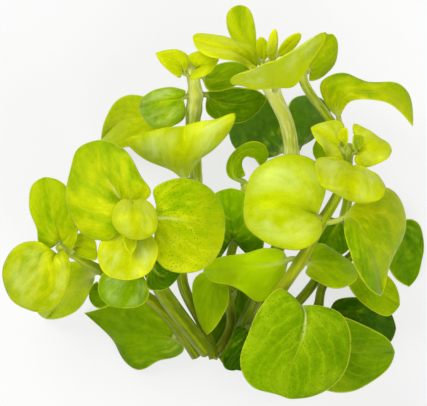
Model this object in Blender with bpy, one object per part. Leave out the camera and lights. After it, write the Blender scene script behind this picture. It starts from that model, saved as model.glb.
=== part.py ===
# Creeping jenny, golden form: a loose cut tuft of eight leafy stems, lying on its back.
# Sizes are in millimetres and become metres as each mesh is made. +X is the tuft's right,
# +Y points to its leafy tops and +Z is up. The origin is on the surface that the tuft lies on,
# under the middle of its box.
import math

import bpy
import numpy as np

MM = 0.001

# Driving sizes
EYE_HEIGHT = 600.0      # places are given as an eye this high above the surface sees them
TRUE_LEVEL = 25.0       # at this height a place is exactly where it is given
MIDDLE = (0.75, 0.58)   # middle of the tuft's box, which goes to the origin
LEAF_THICK = 0.7
STALK_WIDTH = 1.1
BUD_STALK_WIDTH = 0.6
STALK_LENGTH = 1.6
TIP_BUD_SPREAD = 0.85   # how far off its axis a bud leaves the end of a stem, as a share of its radius
CLEARANCE = 0.75        # between a leaf's stalk and its stem
BLUNTNESS = 0.5         # power of the leaf's outline: 0.5 is nearly a circle
TIP_END = 0.985         # part of the blade that is kept, so that its tip is blunt
MIDRIB_POINTS = 80
MIDRIB_STEP = 0.3       # reach over which a midrib's direction is read
NODE_STEP = 0.05        # the same on a stem, as a share of the way between two nodes
EDGE_POINTS = 120
LEAF_ROWS = 7
LEAF_COLUMNS = 4
BUD_ROWS = 4
BUD_COLUMNS = 2
STEM_BEVEL_SEGMENTS = 2
STEM_STEPS = 2          # stretches of tube between two nodes of a stem

YOUNG_GREEN = (0.58, 0.66, 0.02)
MIDDLE_GREEN = (0.30, 0.44, 0.02)
OLD_GREEN = (0.08, 0.19, 0.02)
STEM_GREEN = (0.40, 0.46, 0.08)

# Stems: radii, spread evenly from the cut end to the tip, and the nodes from the cut end up
STEMS = {
    "stem_a": ((1.35, 1.35, 1.35, 1.35, 1.4, 1.5, 1.85, 1.3), [
        (2.9, -31.6, 10), (9.7, -16.4, 15), (15.3, -0.4, 20), (15.7, 9.6, 22),
        (14.3, 17.0, 24), (11.9, 22.2, 26.5), (11.1, 25.8, 28.5), (10.9, 27.2, 29.7)]),
    "stem_b": ((1.0, 0.9), [
        (1.5, -31.4, 3.3), (17.3, -19.4, 4.6), (26.3, -2.4, 7), (26.7, 8.6, 11),
        (24.1, 15.4, 16), (20.9, 19.8, 19), (18.1, 24.2, 21), (17.3, 27.0, 22)]),
    "stem_d": ((1.3, 0.9), [
        (9.0, -31.5, 18), (10.3, -25.4, 23), (12.3, -19.4, 27), (17.3, -11.8, 30),
        (21.9, -3.4, 31), (25.3, 2.6, 31.5), (26.7, 7.6, 33), (27.1, 11.0, 35)]),
    "stem_f": ((1.6, 1.7, 1.35, 1.1, 0.9), [
        (-1.1, -29.8, 18.5), (-8.7, -20.0, 24), (-13.7, -11.8, 31), (-16.7, -5.8, 37),
        (-17.1, -4.2, 41)]),
    "stem_g": ((1.3, 1.3, 1.1, 0.95, 0.85, 0.8), [
        (-3.2, -30.6, 12), (-9.7, -21.8, 14.5), (-15.7, -17.2, 17), (-22.7, -13.4, 20),
        (-29.1, -9.8, 22.5), (-30.7, -9.0, 24.5)]),
    "stem_h": ((1.1, 1.1, 1.1, 1.1, 1.15, 1.45, 1.5, 1.1, 0.9), [
        (0.2, -31.0, 13.5), (-2.4, -23.8, 13.5), (-6.1, -16.2, 14), (-5.5, -7.4, 15),
        (-3.5, 4.6, 17.5), (-4.1, 16.6, 20), (-3.7, 21.6, 21), (-4.1, 25.0, 23),
        (-4.9, 27.2, 24.6)]),
    "stem_m": ((1.0, 0.8), [
        (5.0, -32.0, 3.6), (14.3, -28.4, 4), (20.9, -21.0, 5.5), (21.7, -17.0, 7),
        (26.3, -11.8, 8), (30.9, -6.4, 8), (33.3, -3.0, 7.5)]),
    "stem_n": ((1.0, 0.8), [
        (-0.1, -30.8, 8.3), (3.5, -24.4, 10.2), (2.5, -17.0, 14), (3.7, -9.4, 16),
        (5.3, -1.8, 17.5), (6.5, 3.4, 18.5)]),
}

# Leaves: the stem, the node it grows from (4.5 is half way between nodes 4 and 5), the way the
# upper face looks, the places its midrib runs through with its tip last, and the places its
# left and right edges run through from the stalk's end, seen from above with the tip ahead. A
# place without a height lies on the plane through the midrib that looks along face. A small leaf
# has a width instead of edges. cup bends the sides up, or down when negative, by a share of the
# half width; stalk is the stalk's length.
LEAVES = {
    # stem_d, the right front stem
    "leaf_d_foot": dict(
        stem="stem_d", node=2, stalk=6.3, face=(0, 0.05, 1), cup=-0.05,
        way=[(17.9, -21.4, 33.5), (17.9, -26.6, 36), (15.5, -33, 36.5), (15.1, -39.2, 35)],
        left=[(19.5, -20.4), (22.7, -20.8), (25.5, -22.2), (27.3, -25.6), (27.5, -29.8),
              (26.3, -33.8), (23.5, -37), (19.5, -38.8)],
        right=[(15.9, -19), (13.5, -17), (10.7, -19), (8.5, -22.2), (6.7, -26.6), (5.3, -31.2),
               (5.9, -34.4), (8.1, -37), (11.7, -38)]),
    "leaf_d_low": dict(
        stem="stem_d", node=1.5, stalk=4, face=(0.1, 0, 1),
        way=[(17.5, -26.2, 25), (25.3, -29.4, 24), (36.3, -29.8, 17)],
        left=[(18.3, -23), (22.5, -22), (26.9, -23), (31.3, -25), (34.9, -27.2)],
        right=[(17.3, -29), (18.3, -33.8), (22.3, -37.4), (27.3, -37.8), (31.7, -35.8),
               (35.3, -32.6)]),
    "leaf_d_round": dict(
        stem="stem_d", node=4, stalk=1, face=(-0.1, 0, 1), cup=-0.2,
        way=[(17.3, -0.8, 37), (11.7, 0.6, 38.5), (6.1, -0.6, 35.5)],
        left=[(21.5, -3.8), (21.7, -5.8), (20.3, -7.8), (16.9, -9.4), (12.7, -8.8), (8.9, -7),
              (6.5, -4.6)],
        right=[(21.7, 0), (22.5, 2.6), (21.9, 6.4), (19.3, 9), (15.3, 9.8), (11.1, 8.6),
               (7.9, 6.4), (6.5, 2.6)]),
    "leaf_d_drape": dict(
        stem="stem_d", node=4, stalk=3.2, face=(0.35, 0.25, 0.9), cup=-0.12,
        way=[(27.5, -3, 32.7), (30.5, -6.6, 33), (32.7, -12.2, 29.5), (33.5, -18.6, 24)],
        left=[(27.7, -0.6), (30.1, 1.8), (33.3, 3.2), (36.5, 2), (38.5, -1.4), (38.3, -5.8),
              (36.7, -9.4), (35.1, -13), (34.5, -16.2)],
        right=[(26.1, -5), (26.7, -8), (27.7, -11), (28.9, -13.8), (30.5, -16.6), (32.1, -18)]),
    "leaf_d_bright": dict(
        stem="stem_d", node=3, stalk=2, face=(0, 0.25, 1),
        way=[(12.3, -12.2, 26.5), (6.3, -12.6, 26), (-2.1, -13.6, 22)],
        left=[(14.3, -14.2, 25.5), (12.5, -17.2, 25), (9.7, -19.8, 26), (6.3, -18.2, 27.5),
              (2.9, -16.4, 26.5), (-0.1, -15.8, 24.5)],
        right=[(14.1, -9.8), (10.5, -9), (6.5, -10), (2.3, -10.6), (-0.7, -11.6)]),
    "leaf_d_behind": dict(
        stem="stem_d", node=3, face=(0.3, 0.1, 0.95),
        way=[(21.3, -11.8, 25), (25.3, -12.6, 23), (28.9, -13.4, 19)],
        left=[(18.5, -9.4, 26), (20.9, -8, 25), (23.9, -9.2), (26.9, -11.2)],
        right=[(18.5, -14.2, 25), (20.5, -15.6, 24), (23.5, -17), (26.5, -16.8), (28.5, -15.4)]),
    "leaf_d_arch": dict(
        stem="stem_d", node=6, face=(0.25, 0.5, 0.8),
        way=[(28.1, 7, 39.5), (27.5, 3.4, 43), (27.3, 0.4, 41)],
        left=[(29.9, 7.4, 39.8), (32.7, 5.8, 39.4), (34.5, 3.4), (33.7, 1), (30.7, 0)],
        right=[(24.5, 9, 39.7), (21.5, 9.2, 39.1), (20.3, 6.6), (21.3, 3.6), (24.1, 2)]),
    "leaf_d_left": dict(
        stem="stem_d", node=6.8, stalk=1.2, face=(-0.1, 0.55, 0.8), cup=0.05,
        way=[(23.3, 12.6, 36), (19.4, 15, 35.5)],
        left=[(26.1, 8.4, 36.4), (23.9, 8.4, 36.6), (21.7, 11), (20.1, 13.2)],
        right=[(25.9, 13.4), (25.9, 16), (22.9, 16.4), (20.7, 15.8)]),
    "leaf_d_right": dict(
        stem="stem_d", node=6.8, stalk=0.8, face=(0.1, 0.55, 0.8), cup=0.05,
        way=[(31.3, 11.2, 36), (35.7, 10.4, 34)],
        left=[(28.1, 13.4), (28.1, 15.8), (30.5, 15), (33.3, 13.2), (35.1, 11.8)],
        right=[(28.1, 8.6, 36.2), (29.7, 7.2, 36.4), (32.3, 7.6, 36), (34.7, 8.8)]),
    "bud_d_near": dict(
        stem="stem_d", node=7, face=(-0.6, 0, 0.8), width=2.6, cup=0.4,
        way=[(26.3, 12, 37.5), (26.6, 15, 40)]),
    "bud_d_far": dict(
        stem="stem_d", node=7, face=(0.6, 0, 0.8), width=3.4, cup=0.4,
        way=[(28.5, 11, 36.5), (28.1, 13.6, 39)]),
    # stem_a, the top middle stem
    "leaf_a_boat": dict(
        stem="stem_a", node=5.2, face=(-0.45, 0.83, -0.27),
        way=[(12.3, 24.2, 31.5), (12.3, 28.4, 41)],
        left=[(15.1, 23, 31), (17.7, 25.2, 33.5), (20.1, 29, 35.5), (22.9, 33.8, 37),
              (19.7, 32.4, 40), (16.1, 30.2, 41.5)],
        right=[(9.7, 22.8, 31), (6.3, 23, 33), (3.3, 24.2, 36.5), (6.1, 25.8, 39.5),
               (9.3, 27.4, 41)]),
    "leaf_a_left": dict(
        stem="stem_a", node=6.4, stalk=0.8, face=(-0.1, 0.6, 0.78),
        way=[(5.3, 29.8, 33), (0.3, 31.4, 33.5), (-4.1, 32.6, 32)],
        left=[(9.7, 25.8, 32.6), (7.3, 26.8, 33), (4.9, 28.2), (2.5, 28.6), (-0.7, 29.2),
              (-3.7, 31.4)],
        right=[(8.7, 30.2, 31.8), (7.1, 31.6, 32.4), (5.5, 32.3), (2.9, 33.2), (-0.7, 33.9),
               (-4.1, 33.4)]),
    "leaf_a_top": dict(
        stem="stem_a", node=6.6, stalk=1.0, face=(-0.2, -0.2, 0.95),
        way=[(7.3, 31, 27.5), (5.7, 35.8, 26), (5.4, 39.6, 24.5)],
        left=[(5.9, 29.8), (4.5, 31.4), (3.3, 33.4), (2.6, 35.8), (2.7, 37.8), (3.9, 39.2)],
        right=[(9.1, 30.4), (8.7, 32.2), (8.3, 35.4), (7.7, 37.8), (6.7, 39.2)]),
    "bud_a_round": dict(
        stem="stem_a", node=7, face=(0, -0.3, 0.95), width=2.6, cup=-0.4,
        way=[(9.9, 30.6, 33.2), (9.3, 33.2, 33.4)]),
    "bud_a_pale": dict(
        stem="stem_a", node=7, face=(0, -0.3, 0.95), width=2.2, cup=-0.4,
        way=[(11.8, 31.4, 35.6), (12.3, 34.8, 36.6)]),
    "bud_a_point": dict(
        stem="stem_a", node=7, face=(0, -0.3, 0.95), width=2.6, cup=-0.25,
        way=[(14.1, 30.6, 30.4), (17.4, 33.9, 31.6)]),
    "leaf_a_back_left": dict(
        stem="stem_a", node=3, face=(-0.4, 0.2, 0.9),
        way=[(9.7, 14.4, 11), (5.3, 21.2, -0.4)],
        left=[(11.3, 9, 12), (6.9, 9.2, 7), (4.1, 11.4, 3), (2.9, 15, 0.5), (3.3, 19, -0.4)],
        right=[(13.7, 14.2, 13), (12.7, 18.6, 8), (9.9, 21.8, 2)]),
    "leaf_a_back_right": dict(
        stem="stem_a", node=3, face=(0.3, 0.3, 0.9),
        way=[(19.7, 15.6, 11), (20.9, 21.2, -0.4)],
        left=[(15.1, 13.4, 13), (14.7, 18.2, 8), (16.7, 21.4, 3)],
        right=[(17.5, 11.2, 15), (20.9, 13.4, 9), (23.3, 17, 4), (22.7, 19.8, 0)]),
    # stem_b, behind it at the right
    "leaf_b_tip": dict(
        stem="stem_b", node=6.6, stalk=0.5, face=(0.4, -0.3, 0.85),
        way=[(20.1, 28.2, 21), (23.9, 33.8, 19.5)],
        left=[(17.9, 29.4), (19.1, 31.6), (20.9, 33), (22.5, 33.8)],
        right=[(19.1, 24.6), (22.1, 25.4), (24.3, 27.8), (25, 30.8), (24.5, 33)]),
    "leaf_b_drape": dict(
        stem="stem_b", node=3.9, stalk=4.5,
        way=[(24.9, 18.2, 20.5), (25.9, 21.8, 22.5), (30.5, 22.6, 23), (35.3, 22, 22),
             (38.3, 19.4, 19.5), (39.9, 15.2, 16.5)],
        left=[(23.3, 18.6, 19.5), (21.7, 21.2, 20), (21.3, 23.8, 20.5), (23.5, 25.6, 21),
              (26.7, 26, 21.5), (29.9, 24.6, 21.5), (33.3, 24.2, 21.5), (36.5, 24.1, 20.5),
              (38.9, 22.2, 19), (39.7, 19, 17.5)],
        right=[(25.9, 18.4, 21), (27.3, 20.2, 23), (29.9, 20.7, 24.5), (32.9, 20.5, 24),
               (35.7, 19.4, 22), (37.9, 17.6, 19)]),
    "leaf_b_low": dict(
        stem="stem_b", node=3, stalk=2.5, face=(0, 0.2, 1), width=6,
        way=[(23.3, 10, 12.2), (19.9, 10.2, 12.8)]),
    "leaf_b_back": dict(
        stem="stem_b", node=2, face=(0, 0, 1), width=9,
        way=[(23.7, -6.5, 11.5), (22.3, -10.8, 12.5)]),
    # stem_m, the right back stem
    "leaf_m_low": dict(
        stem="stem_m", node=4, face=(0.2, 0, 1),
        way=[(28.9, -14.6, 12), (33.3, -17.8, 13.5), (37.3, -20.4, 12)],
        left=[(30.9, -12.6), (34.5, -14.2), (36.9, -17.4)],
        right=[(26.9, -16.2), (28.7, -19), (31.9, -21.6), (35.1, -22.6)]),
    "leaf_m_far": dict(
        stem="stem_m", node=5.7, face=(0.3, 0, 1),
        way=[(36.5, -5.8, 8), (38.3, -11, 4), (39.1, -16.8, -0.5)],
        left=[(39.5, -3.2, 7), (41.7, -5.6), (42.1, -8.6), (41.7, -11.8), (40.9, -14.6)],
        right=[(35.3, -5), (34.5, -8.2), (34.5, -11.4), (35.7, -14.2), (37.5, -16)]),
    "leaf_m_dark": dict(
        stem="stem_m", node=2, face=(0.3, 0, 0.95),
        way=[(26.3, -22.4, 9), (31.7, -23.8, 5), (36.5, -25, -0.4)],
        left=[(24.1, -19.8, 8), (27.7, -18.8, 7.5), (32.1, -19.4, 5), (35.5, -22, 1)],
        right=[(23.3, -25.4), (26.9, -28.4), (31.7, -29.4), (35.3, -28)]),
    # stem_f, the left front stem
    "leaf_f_left": dict(
        stem="stem_f", node=3.5, stalk=3.6, face=(-0.25, 0.25, 0.95),
        way=[(-18.3, 0, 41), (-21.9, 5.6, 40), (-25.3, 12, 36)],
        left=[(-18.3, -3.8), (-20.3, -7), (-23.5, -7.4), (-26.3, -6.2), (-28.5, -3),
              (-29.5, 0.6), (-29.3, 4.2), (-28.3, 8), (-27.3, 10.6)],
        right=[(-15.5, -0.4), (-12.5, 2.2), (-14.1, 4.8), (-15.5, 7.4), (-16.9, 9.8),
               (-19.5, 11.8), (-22.5, 12.6)]),
    "leaf_f_right": dict(
        stem="stem_f", node=3.6, stalk=4, face=(0.3, 0, 0.95),
        way=[(-11.1, -3, 41.5), (-4.7, -3.8, 40.5), (2.3, -4.8, 35.5)],
        left=[(-11.5, -0.4), (-12.1, 2.4), (-9.5, 4.4), (-5.9, 5), (-2.1, 3.8), (0.9, 1.2),
              (2.1, -1.8)],
        right=[(-11.7, -5.8), (-12.1, -9.4), (-10.5, -12.6), (-6.9, -14), (-2.9, -13.6),
               (0.3, -11.4), (1.9, -8)]),
    "leaf_f_top": dict(
        stem="stem_f", node=3.8, stalk=6, face=(0, 0.3, 1), cup=-0.23,
        way=[(-16.1, 0, 46), (-15.7, -3.2, 49.5), (-15.3, -7.4, 47.8)],
        left=[(-13.9, 0.8), (-12.1, -0.6), (-11.1, -3.4), (-11.9, -6.2)],
        right=[(-17.9, 0.8), (-19.7, -0.8), (-20.3, -3.6), (-18.9, -6)]),
    "leaf_f_bottom": dict(
        stem="stem_f", node=3.6, stalk=0.6, face=(0, 0.45, 0.9), cup=0.19,
        way=[(-16.5, -8.2, 42), (-16.8, -11.8, 43.5), (-17.1, -15.4, 46)],
        left=[(-14.3, -6.2), (-12.1, -6.6, 44.4), (-11, -9.2, 45.4), (-11.7, -12.2, 46),
              (-13.9, -14.6)],
        right=[(-18.5, -5.4), (-20.9, -5.8), (-22.7, -8), (-23.2, -10.8), (-22.1, -13.6),
               (-19.9, -15)]),
    "bud_f": dict(
        stem="stem_f", node=4, face=(0, 0.4, 1), width=2.6, cup=0.4,
        way=[(-16.7, -7, 44.5), (-16.5, -10, 45.8)]),
    "leaf_f_side": dict(
        stem="stem_f", node=2, stalk=0.6, face=(0, -0.1, 1),
        way=[(-11.1, -14.2, 31.5), (-5.9, -13, 29)],
        left=[(-11.7, -11.8), (-8.7, -11)],
        right=[(-13.3, -17), (-10.7, -17.6), (-8.1, -16.2)]),
    "leaf_f_under": dict(
        stem="stem_f", node=2, face=(-0.1, -0.1, 1),
        way=[(-15.7, -15, 27.5), (-18.5, -21, 24)],
        left=[(-13.3, -16), (-12.9, -18.6), (-15.3, -20.8)],
        right=[(-18.7, -13), (-21.9, -13.8), (-23.1, -16.6), (-22.5, -19.2), (-20.7, -20.6)]),
    # stem_g, the far left stem
    "leaf_g_foot": dict(
        stem="stem_g", node=0.5, face=(0, -0.3, 1),
        way=[(-8.3, -26.8, 9.5), (-14.7, -25.4, 6), (-20.7, -23.4, 2.5), (-25.9, -22, -0.2)],
        left=[(-5.9, -29.2, 8), (-8.1, -31), (-10.7, -31.4), (-12.7, -32.6), (-15.1, -33.4),
              (-17.5, -31.6), (-19.5, -28.4), (-22.7, -24.8)],
        right=[(-5.3, -26, 9), (-6.7, -21.8), (-9.9, -19), (-13.7, -18.2), (-18.7, -19.6),
               (-22.9, -21.2)]),
    "leaf_g_behind": dict(
        stem="stem_g", node=2.6, face=(0, 0, 1), width=5.6,
        way=[(-21.5, -17.8, 17.2), (-24.9, -18.6, 16.8)]),
    "leaf_g_up": dict(
        stem="stem_g", node=4.8, stalk=1, face=(-0.1, 0, 1),
        way=[(-31.3, -5.4, 26.5), (-32.7, 0, 27.5), (-33.9, 5.2, 26)],
        left=[(-33.1, -9.2, 25.4), (-34.9, -8, 25.8), (-35.3, -5.6), (-36.5, -2.4), (-36.9, 0.8),
              (-36.1, 3.8)],
        right=[(-28.7, -9.4), (-27.3, -7.2), (-27.3, -3.4), (-28.1, 0.4), (-29.5, 3.4),
               (-31.5, 4.8)]),
    "leaf_g_round": dict(
        stem="stem_g", node=4.8, face=(-0.25, -0.1, 0.95), cup=-0.16,
        way=[(-32.3, -11.8, 28), (-32.1, -15.8, 28), (-33.9, -19.4, 26), (-35.5, -21.8, 24)],
        left=[(-30.1, -9.4), (-28.7, -11.8), (-28.7, -14.8), (-29.9, -18.2), (-32.1, -21)],
        right=[(-34.3, -8, 28.4), (-37.3, -7.7), (-40.3, -9.4), (-41.9, -12.4), (-41.9, -16.2),
               (-40.3, -19.6), (-37.9, -21)]),
    "leaf_g_back": dict(
        stem="stem_g", node=3, face=(0, -0.3, 1),
        way=[(-25.1, -14.6, 16), (-29.5, -18.8, 8.5), (-33.5, -23.2, -0.4)],
        left=[(-23.9, -15.8), (-25.1, -18.6), (-26.9, -21.2), (-30.3, -23)],
        right=[(-25.5, -12), (-29.1, -11.8), (-32.7, -14.2), (-34.7, -17.8), (-35.5, -21)]),
    "leaf_g_small": dict(
        stem="stem_g", node=4, stalk=0.6, face=(0, 0, 1),
        way=[(-27.1, -8.6, 24.5), (-23.3, -9.4, 24)],
        left=[(-27.9, -7), (-25.9, -5.8), (-23.9, -7)],
        right=[(-27.5, -9.8), (-25.3, -11.2), (-23.5, -11.4)]),
    # stem_h, the upper left stem
    "leaf_h_front": dict(
        stem="stem_h", node=4, stalk=2, face=(0, -0.1, 1), cup=0.05,
        way=[(-6.1, 5.4, 21.5), (-6.1, 10.2, 26.5), (-5.9, 15.4, 26)],
        left=[(-8.3, 6.4), (-11.1, 7.8), (-14.1, 8.8), (-16.1, 10.2), (-17.3, 12.6),
              (-14.7, 13.8), (-11.1, 14.8)],
        right=[(-3.3, 7.8), (-0.3, 10.6), (2.1, 12.4), (3.7, 15), (4.4, 18), (1.1, 17),
               (-2.1, 16.4)]),
    "leaf_h_bent": dict(
        stem="stem_h", node=6, stalk=0.8, face=(0, 0.3, 0.95),
        way=[(-8.3, 20.6, 23), (-11.5, 19.8, 22), (-14.9, 19, 17.5)],
        left=[(-5.7, 17.2, 23), (-8.7, 15.2), (-11.7, 14.8), (-13.9, 16.8)],
        right=[(-5.5, 22.2, 23), (-8.3, 23.2), (-11.7, 22.6), (-14.1, 21.2)]),
    "leaf_h_far": dict(
        stem="stem_h", node=5.4, stalk=3.5, face=(-0.3, 0.2, 0.95),
        way=[(-9.7, 17, 14), (-15.7, 17, 10), (-22.5, 12.4, -0.5)],
        left=[(-10.7, 13.6), (-14.3, 12), (-18.3, 11), (-21.1, 11)],
        right=[(-10.7, 20.2), (-14.3, 21.4), (-17.1, 21.6), (-19.9, 19.8), (-21.9, 16.2)]),
    "leaf_h_dark": dict(
        stem="stem_h", node=6, stalk=0.8, face=(0, -0.5, 0.85),
        way=[(0.3, 20.6, 19.5), (5.3, 19.8, 18.5), (10.7, 21, 16.5)],
        left=[(-1.7, 22), (1.3, 22.8), (5.3, 23.1), (8.7, 22.6)],
        right=[(-1.3, 18), (1.7, 16.2), (5.9, 16.2), (9.3, 18.6)]),
    "leaf_h_olive": dict(
        stem="stem_h", node=7, stalk=0.6, face=(0, 0.3, 0.95),
        way=[(-0.7, 24.6, 22), (3.3, 26.2, 21), (7.5, 26.6, 19)],
        left=[(-2.3, 25.4), (-0.3, 27.2), (2.5, 28.2), (5.5, 28)],
        right=[(-1.1, 22.6), (2.5, 22.6), (5.9, 24.4)]),
    "leaf_h_tip_left": dict(
        stem="stem_h", node=7.6, stalk=1.6, face=(-0.25, 0.3, 0.95),
        way=[(-7.1, 28.2, 27.1), (-11.7, 30, 27.1)],
        left=[(-6.7, 25, 27.1), (-8.7, 26.2), (-10.7, 28.2)],
        right=[(-4.9, 29.2, 26.9), (-6.5, 30.5), (-9.1, 30.7)]),
    "leaf_h_tip_right": dict(
        stem="stem_h", node=7.8, stalk=0.6, face=(0, 0.3, 0.95),
        way=[(-1.5, 27.8, 28.9), (1.1, 28.6, 29)],
        left=[(-5.1, 29.4, 28.8), (-2.1, 30.6), (-0.1, 30.2)],
        right=[(-4.9, 24.8, 28.8), (-1.7, 25.4), (0.3, 27.2)]),
    # stem_n, the middle stem, and one leaf at the foot of stem_a
    "leaf_n_middle": dict(
        stem="stem_n", node=3.2, face=(-0.2, 0, 1),
        way=[(3.7, -5.8, 20), (3.7, -1.4, 20.8), (3.5, 3, 20)],
        left=[(0.5, -11.6, 18.2), (-1.9, -7.4), (-2.1, -1.8), (0.1, 1.8)],
        right=[(8.5, -11.6, 18.2), (10.1, -6.6), (8.9, -1), (6.5, 2)]),
    "leaf_n_curl": dict(
        stem="stem_n", node=5,
        way=[(4.5, 5, 20), (4.1, 8, 21), (5.7, 10.2, 21.5), (8.5, 10.8, 21.5), (9.9, 9, 21),
             (9.3, 7.4, 20.5)],
        left=[(2.9, 5.4, 20), (2.7, 8.2, 20.5), (3.9, 10.2, 21), (5.9, 11.8, 21.3),
              (8.3, 12.4, 21.5), (10.5, 11.2, 21), (10.9, 9, 20.6)],
        right=[(6.3, 5.4, 20.3), (5.7, 7.6, 21), (6.5, 9.2, 21.5), (7.7, 9.2, 21.5),
               (8.7, 8.2, 21)]),
    "leaf_n_hang": dict(
        stem="stem_n", node=2, face=(-0.2, 0, 1),
        way=[(0.3, -16, 17.5), (-0.7, -21, 18), (-1.3, -26.4, 16)],
        left=[(2.7, -16.4), (3.1, -19.6), (1.7, -22.8), (-0.1, -25.4)],
        right=[(-1.1, -13.6), (-3.7, -15), (-4.1, -19.4), (-2.9, -23.8)]),
    "leaf_n_back": dict(
        stem="stem_n", node=1.6, face=(0, 0, 1),
        way=[(5.3, -16.6, 8.2), (3.5, -25, 6.6), (1.7, -31.4, 5.9)],
        left=[(10.1, -15), (10.9, -21.4), (6.9, -29.4)],
        right=[(1.7, -16.2), (-1.1, -23), (-1.1, -29.4)]),
    "leaf_n_low": dict(
        stem="stem_a", node=0.5, face=(0.2, 0, 1),
        way=[(7.3, -25.8, 15.5), (4.5, -33.4, 14)],
        left=[(10.5, -25), (10.5, -29.4), (7.7, -33.4)],
        right=[(4.7, -24.6), (3.1, -27.8), (1.7, -31), (2.5, -33.2)]),
}

SHADES = {
    "stem": STEM_GREEN,
    "bud": YOUNG_GREEN,
    "leaf": MIDDLE_GREEN,
}
OLD_LEAVES = ("leaf_a_back_left", "leaf_a_back_right", "leaf_m_dark", "leaf_m_far", "leaf_h_dark",
              "leaf_f_side", "leaf_f_under", "leaf_n_low", "leaf_n_back", "leaf_n_middle",
              "leaf_b_low", "leaf_b_back")


def unit(vectors):
    """Vectors of length one, along the last axis."""
    return vectors / np.linalg.norm(vectors, axis=-1, keepdims=True)


def placed(points):
    """Places as the eye sees them, moved in toward the eye's line by their own height."""
    points = np.array(points, float)
    nearness = (EYE_HEIGHT - points[:, 2:]) / (EYE_HEIGHT - TRUE_LEVEL)
    points[:, :2] = points[:, :2] * nearness - MIDDLE
    return points


def length_along(points):
    """How far along a line each of its points is."""
    return np.concatenate([[0.0], np.cumsum(np.linalg.norm(np.diff(points, axis=0), axis=1))])


def smooth_curve(points, stations):
    """A natural cubic spline through the points; station 2.5 is half way from point 2 to 3."""
    count = len(points)
    spans = np.linalg.norm(np.diff(points, axis=0), axis=1)
    knots = np.concatenate([[0.0], np.cumsum(spans)])
    system = np.eye(count)
    slopes = np.diff(points, axis=0) / spans[:, None]
    bends = np.zeros_like(points)
    for i in range(1, count - 1):
        system[i, i - 1:i + 2] = spans[i - 1], 2 * (spans[i - 1] + spans[i]), spans[i]
        bends[i] = 6 * (slopes[i] - slopes[i - 1])
    bends = np.linalg.solve(system, bends)
    along = np.interp(stations, np.arange(count), knots)
    k = np.clip(np.searchsorted(knots, along, side="right") - 1, 0, count - 2)
    ahead = (knots[k + 1] - along)[:, None]
    behind = (along - knots[k])[:, None]
    span = spans[k][:, None]
    return ((bends[k] * ahead ** 3 + bends[k + 1] * behind ** 3) / (6 * span)
            + (points[k] / span - bends[k] * span / 6) * ahead
            + (points[k + 1] / span - bends[k + 1] * span / 6) * behind)


def stem_radius(name, share):
    """Radius of a stem at a share of the way from its cut end, counted in nodes."""
    radii = STEMS[name][0]
    return np.interp(share, np.linspace(0, 1, len(radii)), radii)


def stem_at(name, node):
    """Centre, direction and radius of a stem at one of its nodes."""
    nodes = placed(STEMS[name][1])
    last = len(nodes) - 1
    near = np.clip([node - NODE_STEP, node, node + NODE_STEP], 0, last)
    before, here, after = smooth_curve(nodes, near)
    return here, unit(after - before), stem_radius(name, node / last), node >= last


def leaf_foot(name, node, toward):
    """Where a stalk starts: beside its stem, or off the end of it for a bud at the tip."""
    centre, direction, radius, at_tip = stem_at(name, node)
    outward = toward - centre
    outward = unit(outward - direction * (outward @ direction))
    if at_tip:
        return centre + direction * (CLEARANCE + LEAF_THICK / 2) + outward * radius * TIP_BUD_SPREAD
    return centre + outward * (radius + CLEARANCE)


def edge_line(places, face, cup, level, base, tip, midrib_share, blade):
    """One edge of a blade: a smooth line from its base through the given places to its tip."""
    flat = np.array([place[:2] for place in places], float)
    spots = placed(np.column_stack([flat, np.full(len(flat), level)]))
    share = length_along(np.vstack([base, spots, tip]))
    middle = midrib_share(share[1:-1] / share[-1])
    off = spots[:, :2] - middle[:, :2]
    height = middle[:, 2] - off @ face[:2] / face[2] + cup * np.linalg.norm(off, axis=1)
    for i, place in enumerate(places):
        if len(place) > 2:
            height[i] = place[2]
    points = np.vstack([base, placed(np.column_stack([flat, height])), tip])
    fine = smooth_curve(points, np.linspace(0, len(points) - 1, EDGE_POINTS))
    run = length_along(fine)
    return np.column_stack([np.interp(blade * run[-1], run, fine[:, k]) for k in range(3)])


def leaf_surface(rows, columns, stem, node, way, face=(0, 0, 1), left=None, right=None, width=0,
                 cup=0.0, stalk=STALK_LENGTH, stalk_width=STALK_WIDTH):
    """The middle surface of a leaf: a grid of points, rows along the midrib, columns across."""
    level = sum(place[2] for place in way) / len(way)
    way = placed(way)
    face = np.array(face)
    midrib = np.vstack([leaf_foot(stem, node, way[0]), way])
    fine = smooth_curve(midrib, np.linspace(0, len(way), MIDRIB_POINTS))
    run = length_along(fine)
    turn = np.linspace(0, math.pi, rows + 1)
    blade = np.concatenate([[0.0], (1 - np.cos(turn)) / 2 * TIP_END])

    def midrib_at(distance):
        return np.column_stack([np.interp(distance, run, fine[:, k]) for k in range(3)])

    def midrib_share(share):
        return midrib_at(stalk + (run[-1] - stalk) * share)

    reached = stalk + (run[-1] - stalk) * blade
    reached[0] = 0.0
    line = midrib_at(reached)
    along = unit(midrib_at(reached + MIDRIB_STEP) - midrib_at(reached - MIDRIB_STEP))
    across = unit(np.cross(along, face))
    up = np.cross(across, along)

    half = np.maximum(width / 2 * np.sin(math.pi * blade) ** BLUNTNESS, stalk_width / 2)[:, None]
    rise = up * cup * np.where(blade > 0, half[:, 0], 0)[:, None]
    edges = [line - across * half + rise, line + across * half + rise]
    if left:
        for edge, places in zip(edges, (left, right)):
            edge[1:] = edge_line(places, face, cup, level, edge[1], fine[-1], midrib_share, blade[1:])

    v = np.linspace(-1, 1, columns + 1)[None, :, None]
    reach = np.where(v < 0, (edges[0] - line)[:, None], (edges[1] - line)[:, None])
    sag = cup * np.linalg.norm(reach, axis=-1, keepdims=True) * (v ** 2 - abs(v))
    return line[:, None] + reach * abs(v) + up[:, None] * sag


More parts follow.
